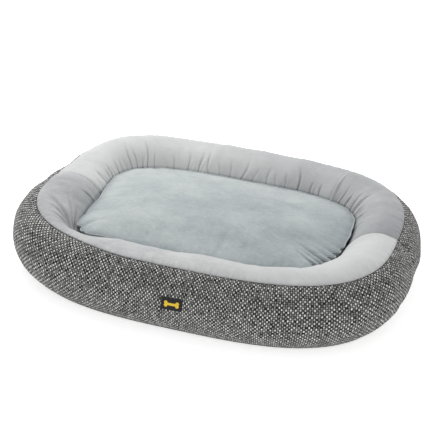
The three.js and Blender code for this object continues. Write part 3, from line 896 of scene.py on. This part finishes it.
def edge_pull(along):
    """How far the cushion's edge is drawn in from the plain bolster: the bolster's own fullness, a slight
    waver, a little room along the right, and scallops where it is bunched towards the front's corners."""
    waver = 0.0008 * np.cos(2 * np.pi * 23 * along / line_length + 1.3)
    waver = waver + 0.0006 * np.cos(2 * np.pi * 41 * along / line_length)
    right_side = smooth(1.6 - np.abs(ring_gap(along, 2.62)) / 0.17)
    pull = cushion_ease + 0.0010 + waver + fullness(along, contact_angle) + 0.0042 * right_side
    for place, width, depth_of in scallops:
        pull = pull + depth_of * np.exp(-(ring_gap(along, place) / width) ** 2)
    return pull


def cushion_outline(fraction, inwards):
    """Point at a fraction of the way round the ring and a distance inwards from its centre line."""
    x, y, out_x, out_y = ring_line(fraction * line_length)
    return x - out_x * inwards, y - out_y * inwards


normal_turn = np.linspace(0, 0.25, 2001)
_, _, turn_x, turn_y = ring_line(normal_turn * line_length)
corner_fraction = float(np.interp(0.0, turn_y - turn_x, normal_turn))


def square_to_outline(u, v):
    """Square of -1 to 1 each way onto the well's outline: the larger coordinate's size is the share of the
    way out, and the place round the square's rim is the place round the outline, corner to corner."""
    share = np.maximum(np.abs(u), np.abs(v))
    safe = np.where(share > 0, share, 1.0)
    p, q = u / safe, v / safe
    side_half = 0.25 - corner_fraction
    fraction = np.where(
        np.abs(u) >= np.abs(v),
        np.where(u >= 0, corner_fraction * q, 0.5 - corner_fraction * q),
        np.where(v >= 0, 0.25 - side_half * p, 0.75 + side_half * p),
    )
    return share, fraction


square_u, square_v = np.meshgrid(np.linspace(-1, 1, cells_long + 1),
                                 np.linspace(-1, 1, cells_wide + 1), indexing="ij")
share_out, place_round = square_to_outline(square_u, square_v)
edge_inwards = inner_reach(welt_height) + edge_pull(place_round * line_length)
edge_x, edge_y = cushion_outline(place_round, edge_inwards)
crown_rise = (cushion_crown - welt_height) * (1 - share_out ** crown_power) ** crown_shoulder
top_points = np.stack([share_out * edge_x, share_out * edge_y, welt_height + 0.92 * crown_rise], axis=-1)


def swell(points, growth, pressure, frames, movement):
    """Cloth simulation of a panel pinned along its edge: the cloth is a share larger than its edge allows,
    pressure lifts it, and no point moves further than the movement."""
    mesh = grid_mesh("panel_at_rest", points)
    panel = bpy.data.objects.new("panel_at_rest", mesh)
    bpy.context.scene.collection.objects.link(panel)
    edge = np.zeros(points.shape[:2], bool)
    edge[[0, -1], :] = True
    edge[:, [0, -1]] = True
    pins = panel.vertex_groups.new(name="edge")
    pins.add(np.flatnonzero(edge.reshape(-1)).tolist(), 1.0, "REPLACE")
    cloth = panel.modifiers.new("pressing", "CLOTH")
    cloth.settings.vertex_group_mass = "edge"
    cloth.settings.quality = 6
    cloth.settings.mass = 0.35
    cloth.settings.tension_stiffness = 18
    cloth.settings.compression_stiffness = 18
    cloth.settings.shear_stiffness = 8
    cloth.settings.bending_stiffness = 1.5
    cloth.settings.air_damping = 3
    cloth.settings.shrink_min = -growth
    cloth.settings.use_pressure = True
    cloth.settings.uniform_pressure_force = pressure
    cloth.settings.effector_weights.gravity = 0
    cloth.point_cache.frame_start = 1
    cloth.point_cache.frame_end = frames
    for step in range(1, frames + 1):
        bpy.context.scene.frame_set(step)
    pressed = panel.evaluated_get(bpy.context.evaluated_depsgraph_get())
    found = np.empty(points.size, np.float32)
    pressed.data.vertices.foreach_get("co", found)
    bpy.data.objects.remove(panel)
    bpy.context.scene.frame_set(1)
    moved = found.reshape(points.shape) - points
    size = np.linalg.norm(moved, axis=-1, keepdims=True)
    return points + moved * np.minimum(1, movement / np.maximum(size, 1e-9))


top_points = swell(top_points, panel_growth, pillow_pressure, pillow_frames, pillow_movement)

# Each fold has its place on the ring, width, depth, reach in from the edge and slant.
edge_folds = [
    (2.395, 0.0055, 0.0060, 0.060, 0.3), (2.440, 0.0050, 0.0045, 0.050, 0.1),
    (2.475, 0.0055, 0.0065, 0.080, -0.1), (2.520, 0.0050, 0.0045, 0.060, -0.3),
    (2.560, 0.0050, 0.0050, 0.050, -0.2), (1.603, 0.0060, 0.0060, 0.07, 0.2),
    (1.630, 0.0050, 0.0040, 0.05, 0.3), (0.020, 0.0090, 0.0022, 0.14, -0.2),
    (2.350, 0.0060, 0.0030, 0.06, 0.2), (0.980, 0.0080, 0.0016, 0.06, 0.0),
    (0.300, 0.0080, 0.0015, 0.07, 0.1),
]
from_edge = (1 - share_out) * 0.30
round_place = place_round * line_length
for place, width, depth_of, reach, slant in edge_folds:
    offset = ring_gap(round_place, place) * (0.35 + 0.65 * share_out) + slant * from_edge
    fade = smooth((reach - from_edge) / (0.8 * reach)) * smooth(from_edge / 0.006 + 0.3)
    top_points[..., 2] += depth_of * crease(offset, width * (1 + 1.2 * from_edge / reach)) * fade
soft_rise = np.cos(9.0 * square_u + 1.0) * np.cos(7.0 * square_v + 0.4) \
    + 0.6 * np.cos(15 * square_u * square_v + 0.6)
top_points[..., 2] += 0.0012 * soft_rise * smooth(from_edge / 0.04)

cushion_dark = (0.280, 0.312, 0.327, 1.0)
cushion_light = (0.480, 0.515, 0.510, 1.0)
cushion_plush, tree, shader = new_material(
    "cushion_plush", roughness=0.85, sheen=0.35, sheen_roughness=0.35, specular=0.2)
# The plush's colour follows the painted light and shade in this attribute, with random brushed marks over it.
tone = tree.nodes.new("ShaderNodeAttribute")
tone.attribute_name = "painted_pile_light_and_shade"
nap = place_group(tree, brushed_nap, Vector=object_vector(tree), Tone=tone.outputs["Fac"],
                  Cloud_Scale=6.0, Marks=0.66)
paint(tree, shader, nap.outputs["Tone"], cushion_dark, cushion_light)
bump_into(tree, shader, nap.outputs["Height"], 0.5, 0.0009)


def cushion_painted_light_and_shade(points, to_edge=0.0):
    """Painted light and shade on the cushion's pile: paler to the left and at the back, darker to the right,
    and a painted shade, darkest along the edge under the bolster's bulge."""
    # Painted shade within about 14 mm of the edge.
    pressed = 0.60 * np.exp(-(to_edge / 0.014) ** 1.5)
    return np.clip(0.53 - 0.50 * points[..., 0] + 0.35 * points[..., 1] - pressed, 0.0, 0.9)


cushion_top = new_piece("cushion_top", grid_mesh("cushion_top", top_points), cushion_plush)
top_to_edge = (1 - share_out) * np.hypot(edge_x, edge_y)
# Painted light and shade, with the painted edge shade by distance to the edge.
add_point_values(cushion_top.data, "painted_pile_light_and_shade", cushion_painted_light_and_shade(top_points, top_to_edge))
finer = cushion_top.modifiers.new("finer", "SUBSURF")
finer.levels = finer.render_levels = 1
thicken(cushion_top, cushion_thickness)
belongs(cushion_top, "cushion", "cushion_top_panel")

# The bottom panel hangs from the same seam: it runs down beside the bolster, turns under in a soft round
# and lies flat on the well's floor.
side_rows, under_rows, round_rows = 26, 34, 10
cushion_columns = 480
pillow_ripple = ripple(42, 14, (8, 60), (20, 60))


def seam_drop(t):
    """Profile of the bottom panel from the welt, t = 0, to the middle of the underside, t = 3: a side that
    follows the bolster, a quarter-round corner and a flat underside. Gives inwards, height and share."""
    side = np.clip(t, 0, 1)
    corner = np.clip(t - 1, 0, 1) * np.pi / 2
    under = np.clip(t - 2, 0, 1)
    corner_height = cushion_bottom + cushion_lower_round
    height = welt_height + side * (corner_height - welt_height)
    height = height - cushion_lower_round * np.sin(corner)
    beside = np.where(height > section_middle, inner_reach(np.maximum(height, section_middle)), bolster_half)
    return beside + cushion_lower_round * (1 - np.cos(corner)), height, 1 - under


profile = np.concatenate([np.linspace(0, 1, side_rows, endpoint=False),
                          np.linspace(1, 2, round_rows, endpoint=False),
                          2 + np.linspace(0, 1, under_rows) ** 0.8])[None, :]
around = np.linspace(0, 1, cushion_columns, endpoint=False)[:, None]


def bottom_shape(around, profile, inset):
    """Bottom panel at a fraction round the ring and a profile place, inset inwards and upwards."""
    inwards, height, share = seam_drop(profile)
    along = around * line_length
    at_welt = np.exp(-profile / 0.12)
    settled = fullness(along, np.pi - outer_angle(np.maximum(height, section_middle)))
    pull = cushion_ease + settled + (edge_pull(along) - cushion_ease - settled) * at_welt + inset
    pull = pull + 0.0007 * (1 + pillow_ripple(along, height)) * smooth(profile * 4) * smooth(3 - profile)
    x, y = cushion_outline(around, inwards + pull)
    lift = inset * smooth(profile - 1)
    return np.stack([share * x, share * y, np.broadcast_to(height + lift, x.shape)], axis=-1)


def weld(piece, distance=1e-5):
    """Joins points that lie on each other, as at a pole."""
    shape = bmesh.new()
    shape.from_mesh(piece.data)
    bmesh.ops.remove_doubles(shape, verts=shape.verts, dist=distance)
    bmesh.ops.dissolve_degenerate(shape, edges=shape.edges, dist=distance)
    shape.to_mesh(piece.data)
    shape.free()


under_points = bottom_shape(around, profile, 0.0)[::-1]
cushion_under = new_piece(
    "cushion_underside", grid_mesh("cushion_underside", under_points, True), cushion_plush)
# Painted shade: the underside takes the full edge shade and is darker by a further 0.3.
add_point_values(cushion_under.data, "painted_pile_light_and_shade", cushion_painted_light_and_shade(under_points) - 0.3)
weld(cushion_under)
thicken(cushion_under, cushion_thickness)
belongs(cushion_under, "cushion", "cushion_bottom_panel")

# The welt is a cord covered in the same plush. Its tube is a circle carried round the seam, and the cover
# wrinkles a little as it turns the corners.
welt_columns, welt_sides = 1400, 14
welt_run = np.linspace(0, 1, welt_columns, endpoint=False)[:, None]
welt_turn = np.linspace(0, 2 * np.pi, welt_sides, endpoint=False)[None, :]
wrinkle_phase = 2 * np.pi * 420 * welt_run + 1.5 * np.sin(2 * np.pi * 31 * welt_run) + welt_turn
tube_radius = welt_radius * (1 + 0.06 * np.cos(wrinkle_phase))
welt_middle = inner_reach(welt_height) + edge_pull(welt_run * line_length) + 0.0004
welt_x, welt_y = cushion_outline(welt_run, welt_middle - tube_radius * np.cos(welt_turn))
welt_points = np.stack([welt_x, welt_y, welt_height + tube_radius * np.sin(welt_turn)], axis=-1)
welt = new_piece("cushion_piping", grid_mesh("cushion_piping", welt_points, True, True), cushion_plush)
# Painted light and shade with the full painted edge shade, lifted by 0.35 on the cord.
add_point_values(welt.data, "painted_pile_light_and_shade", cushion_painted_light_and_shade(welt_points) + 0.35)
belongs(welt, "cushion", "cushion_welt")

# The cushion's own fibre lies just inside its covers.
fibre_depth = 0.0060
crown_sink, lower_sink = 0.004, 0.006
fibre_columns, fibre_rings, crown_rings = 240, 60, 30
inner_profile = np.linspace(0, 3, fibre_rings)[None, :]
fibre_round = np.linspace(0, 1, fibre_columns, endpoint=False)[:, None]
lower_fibre = bottom_shape(fibre_round, inner_profile, fibre_depth)
crown_share = np.linspace(0, 1, crown_rings, endpoint=False)[None, :]
fibre_inwards = inner_reach(welt_height) + edge_pull(fibre_round * line_length) + fibre_depth
fibre_x, fibre_y = cushion_outline(fibre_round, fibre_inwards)
fibre_rise = (cushion_crown - welt_height) * (1 - crown_share ** crown_power) ** crown_shoulder
fibre_height = welt_height - crown_sink + np.maximum(0, fibre_rise - 2 * fibre_depth)
upper_fibre = np.stack([crown_share * fibre_x, crown_share * fibre_y,
                        np.broadcast_to(fibre_height, (fibre_columns, crown_rings))], axis=-1)
lower_fibre[..., 2] = np.minimum(lower_fibre[..., 2], welt_height - lower_sink)
pillow_points = np.concatenate([upper_fibre, lower_fibre], axis=1)[::-1]
pillow = new_piece("cushion_filling", grid_mesh("cushion_filling", pillow_points, True), fibre)
weld(pillow)
belongs(pillow, "cushion", "cushion_fill")

# ---------------------------------------------------------------- floor of the well and base
# A grey lining cloth closes the well over a thin wadding pad, and a black cloth with rubber grip dots
# closes the whole underside.
lining_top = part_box("well_floor")[1][2]
lining_thickness = 0.0012
lining_room = 0.0012
lining_sink, lining_waver = 0.0006, 0.0004
lining_inwards = inner_reach(lining_top) + lining_room
sheet_cells_long, sheet_cells_wide = 91, 65
lining_grid_u, lining_grid_v = np.meshgrid(np.linspace(-1, 1, sheet_cells_long),
                                           np.linspace(-1, 1, sheet_cells_wide), indexing="ij")
lining_share, lining_round = square_to_outline(lining_grid_u, lining_grid_v)
lining_ripple = np.cos(31 * lining_grid_u + 3 * np.sin(5 * lining_grid_v)) * np.cos(17 * lining_grid_v + 1.0)


def flat_sheet(inwards, height):
    """Flat cloth that fills the outline at a distance inwards from the ring line."""
    x, y = cushion_outline(lining_round, inwards)
    return np.stack([lining_share * x, lining_share * y, height + 0 * x], axis=-1)


def fine_weave_material(name, dark, light, pitch, roughness):
    """Plain cloth of fine yarn, woven on Object coordinates."""
    material, tree, shader = new_material(name, roughness=roughness, sheen=0.1, specular=0.2)
    weave = place_group(tree, yarn_weave, Vector=object_vector(tree), Pitch=pitch, Slub=0.4)
    shade = ramp_value(tree, weave.outputs["Shade"], 0.2, 0.9)
    paint(tree, shader, shade, dark, light)
    bump_into(tree, shader, weave.outputs["Height"], 0.5, 0.0003)
    return material


lining_cloth = fine_weave_material(
    "lining_cloth", (0.25, 0.26, 0.27, 1.0), (0.40, 0.41, 0.42, 1.0), 0.0009, 0.9)
base_cloth = fine_weave_material(
    "base_cloth", (0.012, 0.012, 0.013, 1.0), (0.045, 0.045, 0.05, 1.0), 0.0011, 0.85)

lining_points = flat_sheet(lining_inwards, lining_top - lining_sink)
lining_points[..., 2] += lining_waver * lining_ripple
lining = new_piece("well_lining", grid_mesh("well_lining", lining_points), lining_cloth)
thicken(lining, lining_thickness)
belongs(lining, "bed", "well_floor")

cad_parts["base_pad"].data.materials.clear()
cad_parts["base_pad"].data.materials.append(fibre)

base_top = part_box("base_panel")[1][2]
dot_height = 0.0008
base_inwards = -inner_reach(base_top)
base_points = flat_sheet(base_inwards, base_top)
base = new_piece("base_cloth", grid_mesh("base_cloth", base_points), base_cloth)
thicken(base, base_top - dot_height)
belongs(base, "bed", "base_panel")


def copies_mesh(name, points, rings, sides):
    """One small round shape repeated: points is copies x (rings x sides) x 3, each shape's rings run along
    it with their points anticlockwise as seen from ahead, and a flat face closes each end."""
    copies = points.shape[0]
    ring, side = np.meshgrid(np.arange(rings - 1), np.arange(sides), indexing="ij")
    a, b = ring * sides + side, ring * sides + (side + 1) % sides
    wall = np.stack([a, b, b + sides, a + sides], axis=-1).reshape(-1, 4)
    start = np.arange(copies)[:, None, None] * (rings * sides)
    walls = (start + wall[None]).reshape(-1, 4)
    caps = np.stack([np.arange(sides)[::-1], (rings - 1) * sides + np.arange(sides)])
    caps = (start + caps[None]).reshape(-1, sides)
    mesh = bpy.data.meshes.new(name)
    mesh.from_pydata(points.reshape(-1, 3).tolist(), [], walls.tolist() + caps.tolist())
    mesh.polygons.foreach_set("use_smooth", np.ones(len(mesh.polygons), bool))
    return mesh


dot_pitch, dot_radius = 0.021, 0.0033
dot_margin = 0.030
dot_columns, dot_rows = np.arange(-26, 27), np.arange(-24, 25)
dot_grid_x, dot_grid_y = np.meshgrid(dot_columns * dot_pitch, dot_rows * dot_pitch * 0.866, indexing="ij")
dot_grid_x = dot_grid_x + (dot_rows % 2)[None, :] * dot_pitch / 2
inside = (np.abs(dot_grid_x / (line_half_length + dot_margin)) ** outline_power
          + np.abs(dot_grid_y / (line_half_width + dot_margin)) ** outline_power) < 1
dot_x, dot_y = dot_grid_x[inside], dot_grid_y[inside]
dome_rings, dome_sides = 4, 8
dome = np.linspace(0, np.pi / 2 - 0.15, dome_rings)
dome_turn = np.linspace(0, -2 * np.pi, dome_sides, endpoint=False)
dome_reach = dot_radius * np.cos(dome)[:, None]
dome_drop = (dot_height * np.sin(dome) / np.sin(dome[-1]))[:, None]
dome_shape = np.stack([dome_reach * np.cos(dome_turn), dome_reach * np.sin(dome_turn),
                       dot_height - dome_drop + 0 * dome_turn], axis=-1).reshape(-1, 3)
dot_points = dome_shape[None] + np.stack([dot_x, dot_y, 0 * dot_x], axis=-1)[:, None, :]
rubber, tree, shader = new_material("grip_rubber", roughness=0.6, specular=0.4)
scuffs = noise_node(tree, object_vector(tree), 300.0, 4.0)
paint(tree, shader, scuffs, (0.03, 0.03, 0.032, 1.0), (0.09, 0.09, 0.095, 1.0))
dots = new_piece("grip_dots", copies_mesh("grip_dots", dot_points, dome_rings, dome_sides), rubber)
belongs(dots, "bed")

# ---------------------------------------------------------------- label
# A black woven label with a raised yellow bone, sewn flat on the front wall along its two ends.
label_width, label_height, label_thickness = 0.056, 0.032, 0.0009
label_middle_height = 0.103
label_standoff, label_fullness, label_tuck, label_wave = 0.0010, 0.0014, 0.0007, 0.0003
bone_rise = 0.00035
label_cells_long, label_cells_high = 150, 86
across_label, up_label = np.meshgrid(np.linspace(-0.5, 0.5, label_cells_long),
                                     np.linspace(-0.5, 0.5, label_cells_high), indexing="ij")
label_girth = girth(outer_angle(label_middle_height)) + up_label * label_height
label_along = label_place + across_label * label_width
label_angle = angle_at_girth(label_girth)
to_end = (0.5 - np.abs(across_label)) * label_width
to_side = (0.5 - np.abs(up_label)) * label_height
rolled = np.sqrt(smooth(to_end / 0.0010)) * np.sqrt(smooth(to_side / 0.0008))
sewn_down = np.exp(-((to_end - 0.0025) / 0.0010) ** 2)
label_lift = label_standoff + label_fullness * rolled - label_tuck * sewn_down
label_lift = label_lift + label_wave * np.cos(9 * across_label * np.pi)


def capsule(x, y, half_length, radius):
    """Signed distance to a bar with round ends that lies along x, less than 0 inside."""
    return np.hypot(np.maximum(np.abs(x) - half_length, 0), y) - radius


bone_bar_half, bone_bar_radius = 0.0120, 0.0034
knob_out, knob_up, knob_radius = 0.0150, 0.0036, 0.0046


def bone_distance(x, y):
    """Signed distance to a bone: a bar with two knobs at each end."""
    bar = capsule(x, y, bone_bar_half, bone_bar_radius)
    knob = np.hypot(np.abs(x) - knob_out, np.abs(y) - knob_up) - knob_radius
    return np.minimum(bar, knob)


bone = smooth(0.5 - bone_distance(across_label * label_width, up_label * label_height) / 0.0006)
label_lift = label_lift + bone_rise * bone
label_points = on_bolster(label_along, label_angle, wall_shape(label_along, label_angle) + label_lift)
label_cloth_uv = np.stack([across_label * label_width, up_label * label_height], axis=-1)
label_mesh = grid_mesh("woven_label", label_points, cloth=label_cloth_uv)
add_point_values(label_mesh, "bone", bone)

label_weave, tree, shader = new_material("label_weave", roughness=0.7, specular=0.3)
bone_mask = tree.nodes.new("ShaderNodeAttribute")
bone_mask.attribute_name = "bone"
label_yarns = place_group(tree, yarn_weave, Vector=uv_vector(tree), Pitch=0.0005, Slub=0.5)
black = mix_colour(tree, label_yarns.outputs["Shade"], (0.006, 0.006, 0.006, 1.0), (0.022, 0.022, 0.022, 1.0))
yellow = mix_colour(tree, label_yarns.outputs["Shade"], (0.62, 0.40, 0.02, 1.0), (0.90, 0.66, 0.06, 1.0))
paint(tree, shader, bone_mask.outputs["Fac"], black, yellow)
bump_into(tree, shader, label_yarns.outputs["Height"], 0.6, 0.0002)
woven_label = new_piece("woven_label", label_mesh, label_weave)
thicken(woven_label, label_thickness)
belongs(woven_label, "bed", "label")


def stitch_mesh(name, middles, ways, outs, length, radius):
    """Short stitches of thread: each is a spindle of six sides and four rings, laid along its way and
    humped outwards."""
    rings = np.array([-0.5, -0.30, 0.30, 0.5])
    girths = np.array([0.35, 1.0, 1.0, 0.35])
    stitch_sides = 6
    turn = np.linspace(0, 2 * np.pi, stitch_sides, endpoint=False)
    sides = np.cross(outs, ways)
    along = (rings[:, None] + 0 * turn).reshape(-1) * length
    sideways = (girths[:, None] * np.cos(turn)).reshape(-1) * radius
    proud = (girths[:, None] * np.sin(turn) + 0.6 * (girths[:, None] - 0.35)).reshape(-1) * radius
    points = (middles[:, None, :] + along[None, :, None] * ways[:, None, :]
              + sideways[None, :, None] * sides[:, None, :] + proud[None, :, None] * outs[:, None, :])
    return copies_mesh(name, points, len(rings), stitch_sides)


def wall_stitches(name, along, angle, lift, length, radius, material):
    """Stitches that lie up the wall, at places along the ring and angles round its section."""
    step = 0.0004
    here = on_bolster(along, angle, lift)
    ahead = on_bolster(along, angle_at_girth(girth(angle) + step), lift) - here
    ahead = ahead / np.linalg.norm(ahead, axis=-1, keepdims=True)
    outs = on_bolster(along, angle, lift + step) - here
    outs = outs / np.linalg.norm(outs, axis=-1, keepdims=True)
    return new_piece(name, stitch_mesh(name, here, ahead, outs, length, radius), material)


thread, tree, shader = new_material("black_thread", roughness=0.55, specular=0.4)
twist = noise_node(tree, object_vector(tree), 1500.0, 2.0)
paint(tree, shader, twist, (0.015, 0.015, 0.015, 1.0), (0.06, 0.06, 0.06, 1.0))
stitches_an_end = 9
stitch_inset, stitch_length, stitch_radius = 0.0025, 0.0024, 0.00028
stitch_standoff = 0.0020
stitch_rows = np.repeat(np.linspace(-0.42, 0.42, stitches_an_end) * label_height, 2)
stitch_ends = np.tile([-1.0, 1.0], stitches_an_end) * (label_width / 2 - stitch_inset)
stitch_angle = angle_at_girth(girth(outer_angle(label_middle_height)) + stitch_rows)
stitch_along = label_place + stitch_ends
stitch_lift = wall_shape(stitch_along, stitch_angle) + stitch_standoff
label_stitches = wall_stitches("label_stitches", stitch_along, stitch_angle, stitch_lift,
                               stitch_length, stitch_radius, thread)
belongs(label_stitches, "bed")

# ---------------------------------------------------------------- zip
# A nylon coil zip in the back wall, through which the bolster is filled: two woven tapes sewn behind the
# slot, a coil of interlocked loops, two stops, and a lacquered slider with a hanging pull.
zip_reach, zip_up, zip_out_way, zip_up_way = (float(v) for v in section(outer_angle(zip_height)))
zip_origin = np.array([0.0, line_half_width + zip_reach, zip_up])
zip_outwards = np.array([0.0, zip_out_way, zip_up_way])
zip_upwards = np.array([0.0, -zip_up_way, zip_out_way])
tape_top = -0.00278
tape_width = 0.0140
tape_thickness = 0.0007
tape_inner = 0.0029
tape_cells_long, tape_cells_wide = 200, 16
zip_half = 0.120


def on_zip(x, out, up_wall):
    """Point in the zip's own directions: along it, out of the wall and up the wall."""
    along_way = np.array([1.0, 0.0, 0.0])
    return (zip_origin + np.asarray(x)[..., None] * along_way + np.asarray(out)[..., None] * zip_outwards
            + np.asarray(up_wall)[..., None] * zip_upwards)


tape_weave, tree, shader = new_material("tape_weave", roughness=0.8, sheen=0.1, specular=0.3)
tape_yarns = place_group(tree, yarn_weave, Vector=uv_vector(tree), Pitch=0.0006, Slub=0.4)
paint(tree, shader, tape_yarns.outputs["Shade"], (0.015, 0.015, 0.016, 1.0), (0.06, 0.06, 0.065, 1.0))
bump_into(tree, shader, tape_yarns.outputs["Height"], 0.6, 0.0003)
for name, side in (("zip_tape_upper", 1), ("zip_tape_lower", -1)):
    tape_x, tape_share = np.meshgrid(np.linspace(-zip_half, zip_half, tape_cells_long),
                                     np.linspace(0, 1, tape_cells_wide), indexing="ij")
    tape_up = side * (tape_inner + tape_share * tape_width)
    tape_out = tape_top - 0.0002 + 0.00015 * np.cos(300 * tape_x) * tape_share
    tape_points = on_zip(tape_x, tape_out, tape_up)[:, ::side]
    tape_flat = np.stack([tape_x, tape_up], axis=-1)[:, ::side]
    tape_mesh = grid_mesh(name + "_cloth", tape_points, cloth=tape_flat)
    tape = new_piece(name + "_cloth", tape_mesh, tape_weave)
    thicken(tape, tape_thickness)
    belongs(tape, "bed", name)

coil_pitch = 0.0017
coil_half = 0.1165
coil_wire = 0.00032
loop_rings, loop_sides = 8, 5
coil_places = np.arange(-coil_half, coil_half, coil_pitch)
loop_share = np.linspace(0, 1, loop_rings)
loop_side = np.interp(loop_share, [0, 0.35, 0.5, 0.65, 1], [0.0025, 0.0004, -0.0005, 0.0004, 0.0025])
loop_out = np.interp(loop_share, [0, 0.25, 0.5, 0.75, 1], [0.0004, 0.00085, 0.0005, 0.0001, 0.0001])
loop_out = loop_out + tape_top - 0.0001
loop_x = np.interp(loop_share, [0, 1], [-0.25, 0.25]) * coil_pitch


def tube_round(path, radius, sides):
    """Tube along a path of points: at each, a ring of sides across the way to the next point."""
    way = np.gradient(path, axis=0)
    way /= np.linalg.norm(way, axis=1, keepdims=True)
    across = np.cross(way, zip_outwards)
    across /= np.linalg.norm(across, axis=1, keepdims=True)
    other = np.cross(way, across)
    turn = np.linspace(0, 2 * np.pi, sides, endpoint=False)
    return (path[:, None] + radius * (np.cos(turn)[None, :, None] * across[:, None]
                                      + np.sin(turn)[None, :, None] * other[:, None])).reshape(-1, 3)


nylon, tree, shader = new_material("coil_nylon", roughness=0.4, specular=0.5)
dull = noise_node(tree, object_vector(tree), 800.0, 2.0)
paint(tree, shader, dull, (0.012, 0.012, 0.012, 1.0), (0.045, 0.045, 0.045, 1.0))
loops = []
for side, shift in ((1, 0.0), (-1, 0.5)):
    one = tube_round(on_zip(loop_x, loop_out, side * loop_side), coil_wire, loop_sides)
    moved = (coil_places + shift * coil_pitch)[:, None, None] * np.array([1.0, 0.0, 0.0])
    loops.append(one[None] + moved)
loop_points = np.concatenate(loops)
coil = new_piece("zip_coil", copies_mesh("zip_coil", loop_points, loop_rings, loop_sides), nylon)
belongs(coil, "bed", "zip_chain")

lacquer, tree, shader = new_material("dark_lacquer", roughness=0.35, specular=0.5, metallic=0.85)
worn = ramp_value(tree, noise_node(tree, object_vector(tree), 260.0, 5.0, 0.6), 0.35, 0.75)
paint(tree, shader, worn, (0.045, 0.045, 0.05, 1.0), (0.12, 0.12, 0.125, 1.0))
tree.links.new(ramp_value(tree, worn, 0.0, 1.0, 0.28, 0.5), shader.inputs["Roughness"])


def rounded_copy(node, name, body, width):
    """A cast piece with its sharp edges rounded: a copy of the plain one, merged and bevelled."""
    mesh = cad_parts[node].data.copy()
    mesh.name = name
    mesh.materials.clear()
    piece = new_piece(name, mesh, lacquer)
    shape = bmesh.new()
    shape.from_mesh(mesh)
    bmesh.ops.remove_doubles(shape, verts=shape.verts, dist=1e-6)
    bmesh.ops.dissolve_limit(shape, angle_limit=0.02, verts=shape.verts, edges=shape.edges)
    shape.to_mesh(mesh)
    shape.free()
    edge = piece.modifiers.new("cast_edges", "BEVEL")
    edge.width = width
    edge.segments = 2
    edge.limit_method = "ANGLE"
    belongs(piece, body, node)
    return piece


for node, body, width in (("zip_slider", "zip_slider", 0.0003), ("zip_pull", "zip_pull", 0.0003),
                          ("zip_stop_closed", "bed", 0.0002), ("zip_stop_open", "bed", 0.0002)):
    rounded_copy(node, node + "_cast", body, width)
